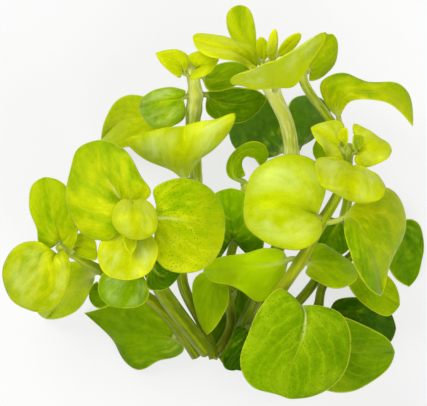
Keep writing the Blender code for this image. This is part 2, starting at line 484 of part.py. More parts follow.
def thick_leaf(surface):
    """Closed faces round a surface, half its thickness to each side, none of it under z = 0."""
    rows, columns = surface.shape[0] - 1, surface.shape[1] - 1
    normal = unit(np.cross(np.gradient(surface, axis=1), np.gradient(surface, axis=0)))
    upper = surface + normal * LEAF_THICK / 2
    lower = surface - normal * LEAF_THICK / 2
    lift = np.maximum(0, -np.minimum(upper[..., 2], lower[..., 2]))
    upper[..., 2] += lift
    lower[..., 2] += lift
    points = np.vstack([upper.reshape(-1, 3), lower.reshape(-1, 3)])

    number = np.arange((rows + 1) * (columns + 1)).reshape(rows + 1, columns + 1)
    under = number.size
    faces = []
    for i in range(rows):
        for j in range(columns):
            a, b = number[i, j], number[i, j + 1]
            c, d = number[i + 1, j + 1], number[i + 1, j]
            faces.append((a, b, c, d))
            faces.append((d + under, c + under, b + under, a + under))
    rim = list(number[0, :-1]) + list(number[:-1, -1]) + list(number[-1, :0:-1])
    rim += list(number[:0:-1, 0])
    for a, b in zip(rim, rim[1:] + rim[:1]):
        faces.append((b, a, a + under, b + under))
    return points, faces


def coat(thing, name):
    """A plain material of its own for one node."""
    material = bpy.data.materials.new(name)
    material.use_nodes = True
    shader = material.node_tree.nodes["Principled BSDF"]
    colour = OLD_GREEN if name in OLD_LEAVES else SHADES[name.split("_")[0]]
    shader.inputs["Base Color"].default_value = (*colour, 1)
    shader.inputs["Roughness"].default_value = 0.45
    shader.inputs["Metallic"].default_value = 0
    thing.data.materials.append(material)


def make_leaf(name, shape):
    """One leaf or bud leaf as a thin closed solid."""
    if name.startswith("bud"):
        surface = leaf_surface(BUD_ROWS, BUD_COLUMNS, stalk_width=BUD_STALK_WIDTH, **shape)
    else:
        surface = leaf_surface(LEAF_ROWS, LEAF_COLUMNS, **shape)
    points, faces = thick_leaf(surface)
    mesh = bpy.data.meshes.new(name)
    mesh.from_pydata((points * MM).tolist(), [], [[int(k) for k in face] for face in faces])
    mesh.shade_smooth()
    thing = bpy.data.objects.new(name, mesh)
    bpy.context.collection.objects.link(thing)
    coat(thing, name)


def make_stem(name):
    """One stem as a round tapering tube with flat cut ends."""
    nodes = placed(STEMS[name][1])
    stations = np.linspace(0, len(nodes) - 1, (len(nodes) - 1) * STEM_STEPS + 1)
    line = smooth_curve(nodes, stations)
    curve = bpy.data.curves.new(name, "CURVE")
    curve.dimensions = "3D"
    curve.bevel_depth = MM
    curve.bevel_resolution = STEM_BEVEL_SEGMENTS
    curve.use_fill_caps = True
    spline = curve.splines.new("POLY")
    spline.points.add(len(line) - 1)
    for point, place, share in zip(spline.points, line, stations / stations[-1]):
        point.co = (*(place * MM), 1)
        point.radius = stem_radius(name, share)
    thing = bpy.data.objects.new(name, curve)
    bpy.context.collection.objects.link(thing)
    coat(thing, name)


for old in list(bpy.data.objects):
    bpy.data.objects.remove(old, do_unlink=True)
for stem_name in STEMS:
    make_stem(stem_name)
for leaf_name, leaf_shape in LEAVES.items():
    make_leaf(leaf_name, leaf_shape)
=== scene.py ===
import math

import bpy
import numpy as np
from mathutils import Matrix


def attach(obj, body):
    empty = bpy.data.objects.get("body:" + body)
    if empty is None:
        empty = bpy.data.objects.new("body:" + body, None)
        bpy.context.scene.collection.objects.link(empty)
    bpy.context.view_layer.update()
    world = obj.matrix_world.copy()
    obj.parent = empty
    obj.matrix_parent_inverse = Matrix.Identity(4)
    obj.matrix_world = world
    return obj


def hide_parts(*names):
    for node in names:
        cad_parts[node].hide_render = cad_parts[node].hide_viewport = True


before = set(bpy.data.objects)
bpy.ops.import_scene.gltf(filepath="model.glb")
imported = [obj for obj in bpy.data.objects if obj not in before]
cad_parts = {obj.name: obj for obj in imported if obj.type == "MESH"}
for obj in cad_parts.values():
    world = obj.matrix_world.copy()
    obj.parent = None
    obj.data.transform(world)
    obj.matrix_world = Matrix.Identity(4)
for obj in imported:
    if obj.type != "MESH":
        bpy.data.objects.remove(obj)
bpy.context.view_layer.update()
mm = 0.001

# The view: places are given in mm, as an eye this high above the surface sees them
view = {
    "eyeHeight": 600.0,       # mm above the surface
    "trueLevel": 25.0,        # at this height a place is exactly where it is given
    "middle": (0.75, 0.58),   # middle of the tuft's box
    "frameWidth": 85.4,       # mm across the picture at the true level
    "sensor": 36.0,
}


def makeCamera():
    camera = bpy.data.cameras.new("camera")
    camera.sensor_width = view["sensor"]
    camera.lens = view["sensor"] * (view["eyeHeight"] - view["trueLevel"]) / view["frameWidth"]
    camera.clip_start = 0.01
    thing = bpy.data.objects.new("camera", camera)
    thing.location = (-view["middle"][0] * mm, -view["middle"][1] * mm, view["eyeHeight"] * mm)
    bpy.context.collection.objects.link(thing)
    bpy.context.scene.camera = thing


makeCamera()
print("camera stands")


# Shader helpers: a Wire is a value in a material, and sums on wires add Math nodes

class Wire:
    def __init__(self, sheet, socket):
        self.sheet = sheet
        self.socket = socket

    def maths(self, operation, *values):
        return self.sheet.node("ShaderNodeMath", {"operation": operation}, dict(enumerate(values)))

    def __add__(self, other):
        return self.maths("ADD", self, other)

    def __sub__(self, other):
        return self.maths("SUBTRACT", self, other)

    def __rsub__(self, other):
        return self.maths("SUBTRACT", other, self)

    def __mul__(self, other):
        return self.maths("MULTIPLY", self, other)

    def __truediv__(self, other):
        return self.maths("DIVIDE", self, other)

    def __pow__(self, other):
        return self.maths("POWER", self, other)

    def __abs__(self):
        return self.maths("ABSOLUTE", self)

    __radd__ = __add__
    __rmul__ = __mul__


class Sheet:
    # one material's nodes
    def __init__(self, name):
        self.material = bpy.data.materials.new(name)
        self.material.use_nodes = True
        self.tree = self.material.node_tree
        self.tree.nodes.clear()
        self.place = self.node("ShaderNodeTexCoord", output="Object")

    def node(self, kind, settings=None, values=None, output=0):
        made = self.tree.nodes.new(kind)
        for key, value in (settings or {}).items():
            if key == "stops":
                for spare in list(made.color_ramp.elements)[1:]:
                    made.color_ramp.elements.remove(spare)
                made.color_ramp.elements[0].position = value[0][0]
                made.color_ramp.elements[0].color = (*value[0][1], 1)
                for position, colour in value[1:]:
                    made.color_ramp.elements.new(position).color = (*colour, 1)
            else:
                setattr(made, key, value)
        for key, value in (values or {}).items():
            if isinstance(value, Wire):
                self.tree.links.new(value.socket, made.inputs[key])
            elif isinstance(value, tuple) and len(value) == 3 and made.inputs[key].type == "RGBA":
                made.inputs[key].default_value = (*value, 1)
            else:
                made.inputs[key].default_value = value
        return Wire(self, made.outputs[output])

    def read(self, name):
        return self.node("ShaderNodeAttribute", {"attribute_name": name}, output="Fac")

    def rise(self, value, low, high, fromLow=0.0, toHigh=1.0):
        # smooth step: fromLow below low, toHigh above high
        return self.node("ShaderNodeMapRange", {"interpolation_type": "SMOOTHSTEP"},
                         {"Value": value, "From Min": low, "From Max": high,
                          "To Min": fromLow, "To Max": toHigh})

    def fall(self, value, low, high):
        return self.rise(value, low, high, 1.0, 0.0)

    def noise(self, size, detail=2.0, rough=0.5, place=None):
        # soft noise with lumps of the given size in mm, about -0.5 to 0.5
        return self.node("ShaderNodeTexNoise", {},
                         {"Vector": place or self.place, "Scale": 1 / (size * mm),
                          "Detail": detail, "Roughness": rough}) - 0.5

    def tinted(self, factor, under, over):
        return self.node("ShaderNodeMix", {"data_type": "RGBA", "clamp_factor": True},
                         {0: factor, 6: under, 7: over}, output=2)

    def finish(self, shader):
        end = self.tree.nodes.new("ShaderNodeOutputMaterial")
        self.tree.links.new(shader.socket, end.inputs["Surface"])
        return self.material


# Curves

def unit(vectors):
    return vectors / np.linalg.norm(vectors, axis=-1, keepdims=True)


def placed(points):
    # places as the eye sees them, moved in toward the eye's line by their own height
    points = np.array(points, float)
    nearness = (view["eyeHeight"] - points[:, 2:]) / (view["eyeHeight"] - view["trueLevel"])
    points[:, :2] = points[:, :2] * nearness - view["middle"]
    return points


def lengthAlong(points):
    return np.concatenate([[0.0], np.cumsum(np.linalg.norm(np.diff(points, axis=0), axis=1))])


def smoothCurve(points, stations):
    # natural cubic spline through the points; station 2.5 is half way from point 2 to 3
    count = len(points)
    spans = np.linalg.norm(np.diff(points, axis=0), axis=1)
    knots = np.concatenate([[0.0], np.cumsum(spans)])
    slopes = np.diff(points, axis=0) / spans[:, None]
    system = np.eye(count)
    inner = np.arange(1, count - 1)
    system[inner, inner - 1] = spans[:-1]
    system[inner, inner] = 2 * (spans[:-1] + spans[1:])
    system[inner, inner + 1] = spans[1:]
    bends = np.zeros_like(points)
    bends[1:-1] = 6 * np.diff(slopes, axis=0)
    bends = np.linalg.solve(system, bends)
    along = np.interp(stations, np.arange(count), knots)
    k = np.clip(np.searchsorted(knots, along, side="right") - 1, 0, count - 2)
    ahead = (knots[k + 1] - along)[:, None]
    behind = (along - knots[k])[:, None]
    span = spans[k][:, None]
    return ((bends[k] * ahead ** 3 + bends[k + 1] * behind ** 3) / (6 * span)
            + (points[k] / span - bends[k] * span / 6) * ahead
            + (points[k + 1] / span - bends[k + 1] * span / 6) * behind)


def smoothStep(value, low, high):
    share = np.clip((value - low) / (high - low), 0, 1)
    return share * share * (3 - 2 * share)


def ringMesh(name, rings, start, end, readings):
    # a closed skin: rings of points joined in order, with one pole before and one after them.
    # readings holds a value for each ring point, carried to the poles from the nearest ring.
    rows, around = rings.shape[:2]
    points = np.vstack([rings.reshape(-1, 3), start, end]) * mm
    number = np.arange(rows * around).reshape(rows, around)
    ahead = np.roll(number, -1, axis=1)
    quads = np.stack([number[:-1], ahead[:-1], ahead[1:], number[1:]], axis=-1).reshape(-1, 4)
    first = np.stack([ahead[0], number[0], np.full(around, rows * around)], axis=-1)
    last = np.stack([number[-1], ahead[-1], np.full(around, rows * around + 1)], axis=-1)
    mesh = bpy.data.meshes.new(name)
    mesh.from_pydata(points.tolist(), [], quads.tolist() + first.tolist() + last.tolist())
    mesh.shade_smooth()
    for key, values in readings.items():
        values = np.broadcast_to(values, (rows, around))
        values = np.concatenate([values.ravel(), [values[0].mean(), values[-1].mean()]])
        mesh.attributes.new(key, "FLOAT", "POINT").data.foreach_set("value", values.astype("f"))
    thing = bpy.data.objects.new(name, mesh)
    bpy.context.collection.objects.link(thing)
    return thing


def dress(thing, node, material):
    thing.data.materials.append(material)
    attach(thing, "root")
    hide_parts(node)


# Stems: the radii in mm, spread evenly from the cut end to the tip, and the nodes' places from
# the cut end up. light and brown say how light and how brown the skin is at the cut end and at
# the tip; the dark cut ends are partly painted shade at the foot of the tuft, and the pale top of
# stem_a partly a painted highlight. pale says how strong its pale streaks and joints are; on
# stem_a and stem_h the streaks are partly painted highlights.

stemShapes = {
    "stem_a": dict(
        radius=(1.35, 1.35, 1.35, 1.35, 1.4, 1.5, 1.85, 1.3),
        light=(0.0, 1.75), brown=(0.1, 0.0), pale=1.0, nodes=[
        (2.9, -31.6, 10), (9.7, -16.4, 15), (15.3, -0.4, 20), (15.7, 9.6, 22),
        (14.3, 17.0, 24), (11.9, 22.2, 26.5), (11.1, 25.8, 28.5), (10.9, 27.2, 29.7)]),
    "stem_b": dict(radius=(1.0, 0.9), light=(0.2, 0.8), brown=(0.2, 0.0), pale=0.4, nodes=[
        (1.5, -31.4, 3.3), (17.3, -19.4, 4.6), (26.3, -2.4, 7), (26.7, 8.6, 11),
        (24.1, 15.4, 16), (20.9, 19.8, 19), (18.1, 24.2, 21), (17.3, 27.0, 22)]),
    "stem_d": dict(radius=(1.3, 0.9), light=(0.42, 0.60), brown=(0.75, 0.0), pale=0.0, nodes=[
        (9.0, -31.5, 18), (10.3, -25.4, 23), (12.3, -19.4, 27), (17.3, -11.8, 30),
        (21.9, -3.4, 31), (25.3, 2.6, 31.5), (26.7, 7.6, 33), (27.1, 11.0, 35)]),
    "stem_f": dict(
        radius=(1.6, 1.7, 1.35, 1.1, 0.9), light=(0.0, 0.75), brown=(0.3, 0.0), pale=0.2, nodes=[
        (-1.1, -29.8, 18.5), (-8.7, -20.0, 24), (-13.7, -11.8, 31), (-16.7, -5.8, 37),
        (-17.1, -4.2, 41)]),
    "stem_g": dict(
        radius=(1.3, 1.3, 1.1, 0.95, 0.85, 0.8), light=(0.05, 0.70), brown=(0.3, 0.2), pale=0.2, nodes=[
        (-3.2, -30.6, 12), (-9.7, -21.8, 14.5), (-15.7, -17.2, 17), (-22.7, -13.4, 20),
        (-29.1, -9.8, 22.5), (-30.7, -9.0, 24.5)]),
    "stem_h": dict(
        radius=(1.1, 1.1, 1.1, 1.1, 1.15, 1.45, 1.5, 1.1, 0.9),
        light=(0.0, 1.15), brown=(0.3, 0.1), pale=0.7, nodes=[
        (0.2, -31.0, 13.5), (-2.4, -23.8, 13.5), (-6.1, -16.2, 14), (-5.5, -7.4, 15),
        (-3.5, 4.6, 17.5), (-4.1, 16.6, 20), (-3.7, 21.6, 21), (-4.1, 25.0, 23),
        (-4.9, 27.2, 24.6)]),
    "stem_m": dict(radius=(1.0, 0.8), light=(0.1, 0.3), brown=(0.3, 0.0), pale=0.1, nodes=[
        (5.0, -32.0, 3.6), (14.3, -28.4, 4), (20.9, -21.0, 5.5), (21.7, -17.0, 7),
        (26.3, -11.8, 8), (30.9, -6.4, 8), (33.3, -3.0, 7.5)]),
    "stem_n": dict(radius=(1.0, 0.8), light=(0.15, 0.6), brown=(0.6, 0.1), pale=0.2, nodes=[
        (-0.1, -30.8, 8.3), (3.5, -24.4, 10.2), (2.5, -17.0, 14), (3.7, -9.4, 16),
        (5.3, -1.8, 17.5), (6.5, 3.4, 18.5)]),
}

# Leaves: the stem, the node it grows from, the places its midrib runs through with its tip last,
# and the places its left and right edges run through, seen from above with the tip ahead. A place
# without a height lies on the plane that looks along face. Small leaves have a width instead.
# stalk is the stalk's length in mm; cup bends the sides up by a share of the half width, and puff
# arches each half of the blade. tone is the skin's lightness, 0 deep and 1 pale; the deep tones of
# leaves inside the tuft are partly painted shade, and the tone past 1 on leaf_a_boat, which faces
# away from the lights, is partly painted light. tipTone and sideTone add to it toward the tip and
# toward the right side. The rest are strengths from 0 to 1: veins of the pale veins, dots of the
# brown glands, cream of the pale base, rim of the pale edge, which is partly a painted rim highlight,
# bloom of the painted sheen in pale patches, rays of the streaks that fan out from the base,
# fresh of a clear green.

leafShapes = {
    # stem_d, the right front stem
    "leaf_d_foot": dict(
        stem="stem_d", node=2, stalk=6.3, face=(0, 0.05, 1), cup=-0.05,
        way=[(17.9, -21.4, 33.5), (17.9, -26.6, 36), (15.5, -33, 36.5), (15.1, -39.2, 35)],
        left=[(19.5, -20.4), (22.7, -20.8), (25.5, -22.2), (27.3, -25.6), (27.5, -29.8),
              (26.3, -33.8), (23.5, -37), (19.5, -38.8)],
        right=[(15.9, -19), (13.5, -17), (10.7, -19), (8.5, -22.2), (6.7, -26.6), (5.3, -31.2),
               (5.9, -34.4), (8.1, -37), (11.7, -38)],
        tone=0.44, sideTone=0.06, veins=0.6, dots=1.0, cream=0.75, rim=0.7, rays=0.2),
    "leaf_d_low": dict(
        stem="stem_d", node=1.5, stalk=4, face=(0.1, 0, 1),
        way=[(17.5, -26.2, 25), (25.3, -29.4, 24), (36.3, -29.8, 17)],
        left=[(18.3, -23), (22.5, -22), (26.9, -23), (31.3, -25), (34.9, -27.2)],
        right=[(17.3, -29), (18.3, -33.8), (22.3, -37.4), (27.3, -37.8), (31.7, -35.8),
               (35.3, -32.6)],
        tone=0.3, tipTone=0.1, dots=0.2, rays=0.3, fresh=0.05),
    "leaf_d_round": dict(
        stem="stem_d", node=4, stalk=1, face=(-0.1, 0, 1), cup=-0.2,
        way=[(17.3, -0.8, 37), (11.7, 0.6, 38.5), (6.1, -0.6, 35.5)],
        left=[(21.5, -3.8), (21.7, -5.8), (20.3, -7.8), (16.9, -9.4), (12.7, -8.8), (8.9, -7),
              (6.5, -4.6)],
        right=[(21.7, 0), (22.5, 2.6), (21.9, 6.4), (19.3, 9), (15.3, 9.8), (11.1, 8.6),
               (7.9, 6.4), (6.5, 2.6)],
        tone=0.86, veins=0.3, bloom=0.6, rays=0.5, fresh=0.25),
    "leaf_d_drape": dict(
        stem="stem_d", node=4, stalk=3.2, face=(0.35, 0.25, 0.9), cup=-0.12,
        way=[(27.5, -3, 32.7), (30.5, -6.6, 33), (32.7, -12.2, 29.5), (33.5, -18.6, 24)],
        left=[(27.7, -0.6), (30.1, 1.8), (33.3, 3.2), (36.5, 2), (38.5, -1.4), (38.3, -5.8),
              (36.7, -9.4), (35.1, -13), (34.5, -16.2)],
        right=[(26.1, -5), (26.7, -8), (27.7, -11), (28.9, -13.8), (30.5, -16.6), (32.1, -18)],
        tone=0.66, tipTone=-0.12, sideTone=-0.2, veins=0.4, dots=0.1, rays=0.7),
    "leaf_d_bright": dict(
        stem="stem_d", node=3, stalk=2, face=(0, 0.25, 1),
        way=[(12.3, -12.2, 26.5), (6.3, -12.6, 26), (-2.1, -13.6, 22)],
        left=[(14.3, -14.2, 25.5), (12.5, -17.2, 25), (9.7, -19.8, 26), (6.3, -18.2, 27.5),
              (2.9, -16.4, 26.5), (-0.1, -15.8, 24.5)],
        right=[(14.1, -9.8), (10.5, -9), (6.5, -10), (2.3, -10.6), (-0.7, -11.6)],
        tone=0.66, veins=0.4, cream=0.3, rays=0.6, fresh=1.0),
    "leaf_d_behind": dict(
        stem="stem_d", node=3, face=(0.3, 0.1, 0.95),
        way=[(21.3, -11.8, 25), (25.3, -12.6, 23), (28.9, -13.4, 19)],
        left=[(18.5, -9.4, 26), (20.9, -8, 25), (23.9, -9.2), (26.9, -11.2)],
        right=[(18.5, -14.2, 25), (20.5, -15.6, 24), (23.5, -17), (26.5, -16.8), (28.5, -15.4)],
        tone=0.58, fresh=0.2),
    "leaf_d_arch": dict(
        stem="stem_d", node=6, face=(0.25, 0.5, 0.8),
        way=[(28.1, 7, 39.5), (27.5, 3.4, 43), (27.3, 0.4, 41)],
        left=[(29.9, 7.4, 39.8), (32.7, 5.8, 39.4), (34.5, 3.4), (33.7, 1), (30.7, 0)],
        right=[(24.5, 9, 39.7), (21.5, 9.2, 39.1), (20.3, 6.6), (21.3, 3.6), (24.1, 2)],
        tone=0.88, veins=0.3, puff=0.04, bloom=0.5),
    "leaf_d_left": dict(
        stem="stem_d", node=6.8, stalk=1.2, face=(-0.1, 0.55, 0.8), cup=0.05,
        way=[(23.3, 12.6, 36), (19.4, 15, 35.5)],
        left=[(26.1, 8.4, 36.4), (23.9, 8.4, 36.6), (21.7, 11), (20.1, 13.2)],
        right=[(25.9, 13.4), (25.9, 16), (22.9, 16.4), (20.7, 15.8)],
        tone=0.93, bloom=0.3),
    "leaf_d_right": dict(
        stem="stem_d", node=6.8, stalk=0.8, face=(0.1, 0.55, 0.8), cup=0.05,
        way=[(31.3, 11.2, 36), (35.7, 10.4, 34)],
        left=[(28.1, 13.4), (28.1, 15.8), (30.5, 15), (33.3, 13.2), (35.1, 11.8)],
        right=[(28.1, 8.6, 36.2), (29.7, 7.2, 36.4), (32.3, 7.6, 36), (34.7, 8.8)],
        tone=0.92, bloom=0.3),
    "bud_d_near": dict(
        stem="stem_d", node=7, face=(-0.6, 0, 0.8), width=2.6, cup=0.4,
        way=[(26.3, 12, 37.5), (26.6, 15, 40)],
        tone=0.9),
    "bud_d_far": dict(
        stem="stem_d", node=7, face=(0.6, 0, 0.8), width=3.4, cup=0.4,
        way=[(28.5, 11, 36.5), (28.1, 13.6, 39)],
        tone=0.62),
    # stem_a, the top middle stem
    "leaf_a_boat": dict(
        stem="stem_a", node=5.2, face=(-0.45, 0.83, -0.27),
        way=[(12.3, 24.2, 31.5), (12.3, 28.4, 41)],
        left=[(15.1, 23, 31), (17.7, 25.2, 33.5), (20.1, 29, 35.5), (22.9, 33.8, 37),
              (19.7, 32.4, 40), (16.1, 30.2, 41.5)],
        right=[(9.7, 22.8, 31), (6.3, 23, 33), (3.3, 24.2, 36.5), (6.1, 25.8, 39.5),
               (9.3, 27.4, 41)],
        tone=1.25, bloom=1.0, rays=0.2, fresh=0.15),
    "leaf_a_left": dict(
        stem="stem_a", node=6.4, stalk=0.8, face=(-0.1, 0.6, 0.78),
        way=[(5.3, 29.8, 33), (0.3, 31.4, 33.5), (-4.1, 32.6, 32)],
        left=[(9.7, 25.8, 32.6), (7.3, 26.8, 33), (4.9, 28.2), (2.5, 28.6), (-0.7, 29.2),
              (-3.7, 31.4)],
        right=[(8.7, 30.2, 31.8), (7.1, 31.6, 32.4), (5.5, 32.3), (2.9, 33.2), (-0.7, 33.9),
               (-4.1, 33.4)],
        tone=0.92, bloom=0.15, rays=0.7),
    "leaf_a_top": dict(
        stem="stem_a", node=6.6, stalk=1.0, face=(-0.2, -0.2, 0.95),
        way=[(7.3, 31, 27.5), (5.7, 35.8, 26), (5.4, 39.6, 24.5)],
        left=[(5.9, 29.8), (4.5, 31.4), (3.3, 33.4), (2.6, 35.8), (2.7, 37.8), (3.9, 39.2)],
        right=[(9.1, 30.4), (8.7, 32.2), (8.3, 35.4), (7.7, 37.8), (6.7, 39.2)],
        tone=0.7),
    "bud_a_round": dict(
        stem="stem_a", node=7, face=(0, -0.3, 0.95), width=2.6, cup=-0.4,
        way=[(9.9, 30.6, 33.2), (9.3, 33.2, 33.4)],
        tone=0.8),
    "bud_a_pale": dict(
        stem="stem_a", node=7, face=(0, -0.3, 0.95), width=2.2, cup=-0.4,
        way=[(11.8, 31.4, 35.6), (12.3, 34.8, 36.6)],
        tone=1.0, bloom=0.5),
    "bud_a_point": dict(
        stem="stem_a", node=7, face=(0, -0.3, 0.95), width=2.6, cup=-0.25,
        way=[(14.1, 30.6, 30.4), (17.4, 33.9, 31.6)],
        tone=0.9),
    "leaf_a_back_left": dict(
        stem="stem_a", node=3, face=(-0.4, 0.2, 0.9),
        way=[(9.7, 14.4, 11), (5.3, 21.2, -0.4)],
        left=[(11.3, 9, 12), (6.9, 9.2, 7), (4.1, 11.4, 3), (2.9, 15, 0.5), (3.3, 19, -0.4)],
        right=[(13.7, 14.2, 13), (12.7, 18.6, 8), (9.9, 21.8, 2)],
        tone=0.2, veins=0.1),
    "leaf_a_back_right": dict(
        stem="stem_a", node=3, face=(0.3, 0.3, 0.9),
        way=[(19.7, 15.6, 11), (20.9, 21.2, -0.4)],
        left=[(15.1, 13.4, 13), (14.7, 18.2, 8), (16.7, 21.4, 3)],
        right=[(17.5, 11.2, 15), (20.9, 13.4, 9), (23.3, 17, 4), (22.7, 19.8, 0)],
        tone=0.24, veins=0.1),
    # stem_b, behind it at the right
    "leaf_b_tip": dict(
        stem="stem_b", node=6.6, stalk=0.5, face=(0.4, -0.3, 0.85),
        way=[(20.1, 28.2, 21), (23.9, 33.8, 19.5)],
        left=[(17.9, 29.4), (19.1, 31.6), (20.9, 33), (22.5, 33.8)],
        right=[(19.1, 24.6), (22.1, 25.4), (24.3, 27.8), (25, 30.8), (24.5, 33)],
        tone=0.62),
    "leaf_b_drape": dict(
        stem="stem_b", node=3.9, stalk=4.5,
        way=[(24.9, 18.2, 20.5), (25.9, 21.8, 22.5), (30.5, 22.6, 23), (35.3, 22, 22),
             (38.3, 19.4, 19.5), (39.9, 15.2, 16.5)],
        left=[(23.3, 18.6, 19.5), (21.7, 21.2, 20), (21.3, 23.8, 20.5), (23.5, 25.6, 21),
              (26.7, 26, 21.5), (29.9, 24.6, 21.5), (33.3, 24.2, 21.5), (36.5, 24.1, 20.5),
              (38.9, 22.2, 19), (39.7, 19, 17.5)],
        right=[(25.9, 18.4, 21), (27.3, 20.2, 23), (29.9, 20.7, 24.5), (32.9, 20.5, 24),
               (35.7, 19.4, 22), (37.9, 17.6, 19)],
        tone=0.74, sideTone=0.12, veins=0.4, rays=0.7),
    "leaf_b_low": dict(
        stem="stem_b", node=3, stalk=2.5, face=(0, 0.2, 1), width=6,
        way=[(23.3, 10, 12.2), (19.9, 10.2, 12.8)],
        tone=0.55),
    "leaf_b_back": dict(
        stem="stem_b", node=2, width=9,
        way=[(23.7, -6.5, 11.5), (22.3, -10.8, 12.5)],
        tone=0.32, rim=0.2),
    # stem_m, the right back stem
    "leaf_m_low": dict(
        stem="stem_m", node=4, face=(0.2, 0, 1),
        way=[(28.9, -14.6, 12), (33.3, -17.8, 13.5), (37.3, -20.4, 12)],
        left=[(30.9, -12.6), (34.5, -14.2), (36.9, -17.4)],
        right=[(26.9, -16.2), (28.7, -19), (31.9, -21.6), (35.1, -22.6)],
        tone=0.58),
    "leaf_m_far": dict(
        stem="stem_m", node=5.7, face=(0.3, 0, 1),
        way=[(36.5, -5.8, 8), (38.3, -11, 4), (39.1, -16.8, -0.5)],
        left=[(39.5, -3.2, 7), (41.7, -5.6), (42.1, -8.6), (41.7, -11.8), (40.9, -14.6)],
        right=[(35.3, -5), (34.5, -8.2), (34.5, -11.4), (35.7, -14.2), (37.5, -16)],
        tone=0.32, veins=0.2),
    "leaf_m_dark": dict(
        stem="stem_m", node=2, face=(0.3, 0, 0.95),
        way=[(26.3, -22.4, 9), (31.7, -23.8, 5), (36.5, -25, -0.4)],
        left=[(24.1, -19.8, 8), (27.7, -18.8, 7.5), (32.1, -19.4, 5), (35.5, -22, 1)],
        right=[(23.3, -25.4), (26.9, -28.4), (31.7, -29.4), (35.3, -28)],
        tone=0.08, veins=0.1, rim=0.3),
    # stem_f, the left front stem
    "leaf_f_left": dict(
        stem="stem_f", node=3.5, stalk=3.6, face=(-0.25, 0.25, 0.95),
        way=[(-18.3, 0, 41), (-21.9, 5.6, 40), (-25.3, 12, 36)],
        left=[(-18.3, -3.8), (-20.3, -7), (-23.5, -7.4), (-26.3, -6.2), (-28.5, -3),
              (-29.5, 0.6), (-29.3, 4.2), (-28.3, 8), (-27.3, 10.6)],
        right=[(-15.5, -0.4), (-12.5, 2.2), (-14.1, 4.8), (-15.5, 7.4), (-16.9, 9.8),
               (-19.5, 11.8), (-22.5, 12.6)],
        tone=0.72, tipTone=-0.1, dots=0.15, cream=0.8, rays=0.9),
    "leaf_f_right": dict(
        stem="stem_f", node=3.6, stalk=4, face=(0.3, 0, 0.95),
        way=[(-11.1, -3, 41.5), (-4.7, -3.8, 40.5), (2.3, -4.8, 35.5)],
        left=[(-11.5, -0.4), (-12.1, 2.4), (-9.5, 4.4), (-5.9, 5), (-2.1, 3.8), (0.9, 1.2),
              (2.1, -1.8)],
        right=[(-11.7, -5.8), (-12.1, -9.4), (-10.5, -12.6), (-6.9, -14), (-2.9, -13.6),
               (0.3, -11.4), (1.9, -8)],
        tone=0.76, sideTone=0.16, veins=0.7, dots=1.0, cream=0.6, rays=1.0, fresh=0.2),
    "leaf_f_top": dict(
        stem="stem_f", node=3.8, stalk=6, face=(0, 0.3, 1), cup=-0.23,
        way=[(-16.1, 0, 46), (-15.7, -3.2, 49.5), (-15.3, -7.4, 47.8)],
        left=[(-13.9, 0.8), (-12.1, -0.6), (-11.1, -3.4), (-11.9, -6.2)],
        right=[(-17.9, 0.8), (-19.7, -0.8), (-20.3, -3.6), (-18.9, -6)],
        tone=0.84, veins=0.2, puff=0.02, bloom=0.3, rays=0.3),
    "leaf_f_bottom": dict(
        stem="stem_f", node=3.6, stalk=0.6, face=(0, 0.45, 0.9), cup=0.19,
        way=[(-16.5, -8.2, 42), (-16.8, -11.8, 43.5), (-17.1, -15.4, 46)],
        left=[(-14.3, -6.2), (-12.1, -6.6, 44.4), (-11, -9.2, 45.4), (-11.7, -12.2, 46),
              (-13.9, -14.6)],
        right=[(-18.5, -5.4), (-20.9, -5.8), (-22.7, -8), (-23.2, -10.8), (-22.1, -13.6),
               (-19.9, -15)],
        tone=0.96, veins=0.2, puff=0.02, bloom=1.0),
    "bud_f": dict(
        stem="stem_f", node=4, face=(0, 0.4, 1), width=2.6, cup=0.4,
        way=[(-16.7, -7, 44.5), (-16.5, -10, 45.8)],
        tone=0.75),
    "leaf_f_side": dict(
        stem="stem_f", node=2, stalk=0.6, face=(0, -0.1, 1),
        way=[(-11.1, -14.2, 31.5), (-5.9, -13, 29)],
        left=[(-11.7, -11.8), (-8.7, -11)],
        right=[(-13.3, -17), (-10.7, -17.6), (-8.1, -16.2)],
        tone=0.22),
    "leaf_f_under": dict(
        stem="stem_f", node=2, face=(-0.1, -0.1, 1),
        way=[(-15.7, -15, 27.5), (-18.5, -21, 24)],
        left=[(-13.3, -16), (-12.9, -18.6), (-15.3, -20.8)],
        right=[(-18.7, -13), (-21.9, -13.8), (-23.1, -16.6), (-22.5, -19.2), (-20.7, -20.6)],
        tone=0.46, veins=0.1, bloom=0.3),
    # stem_g, the far left stem
    "leaf_g_foot": dict(
        stem="stem_g", node=0.5, face=(0, -0.3, 1),
        way=[(-8.3, -26.8, 9.5), (-14.7, -25.4, 6), (-20.7, -23.4, 2.5), (-25.9, -22, -0.2)],
        left=[(-5.9, -29.2, 8), (-8.1, -31), (-10.7, -31.4), (-12.7, -32.6), (-15.1, -33.4),
              (-17.5, -31.6), (-19.5, -28.4), (-22.7, -24.8)],
        right=[(-5.3, -26, 9), (-6.7, -21.8), (-9.9, -19), (-13.7, -18.2), (-18.7, -19.6),
               (-22.9, -21.2)],
        tone=0.4, sideTone=0.12, veins=0.2, dots=0.1, rim=0.5, rays=0.5, fresh=0.08),
    "leaf_g_behind": dict(
        stem="stem_g", node=2.6, width=5.6,
        way=[(-21.5, -17.8, 17.2), (-24.9, -18.6, 16.8)],
        tone=0.3),
    "leaf_g_up": dict(
        stem="stem_g", node=4.8, stalk=1, face=(-0.1, 0, 1),
        way=[(-31.3, -5.4, 26.5), (-32.7, 0, 27.5), (-33.9, 5.2, 26)],
        left=[(-33.1, -9.2, 25.4), (-34.9, -8, 25.8), (-35.3, -5.6), (-36.5, -2.4), (-36.9, 0.8),
              (-36.1, 3.8)],
        right=[(-28.7, -9.4), (-27.3, -7.2), (-27.3, -3.4), (-28.1, 0.4), (-29.5, 3.4),
               (-31.5, 4.8)],
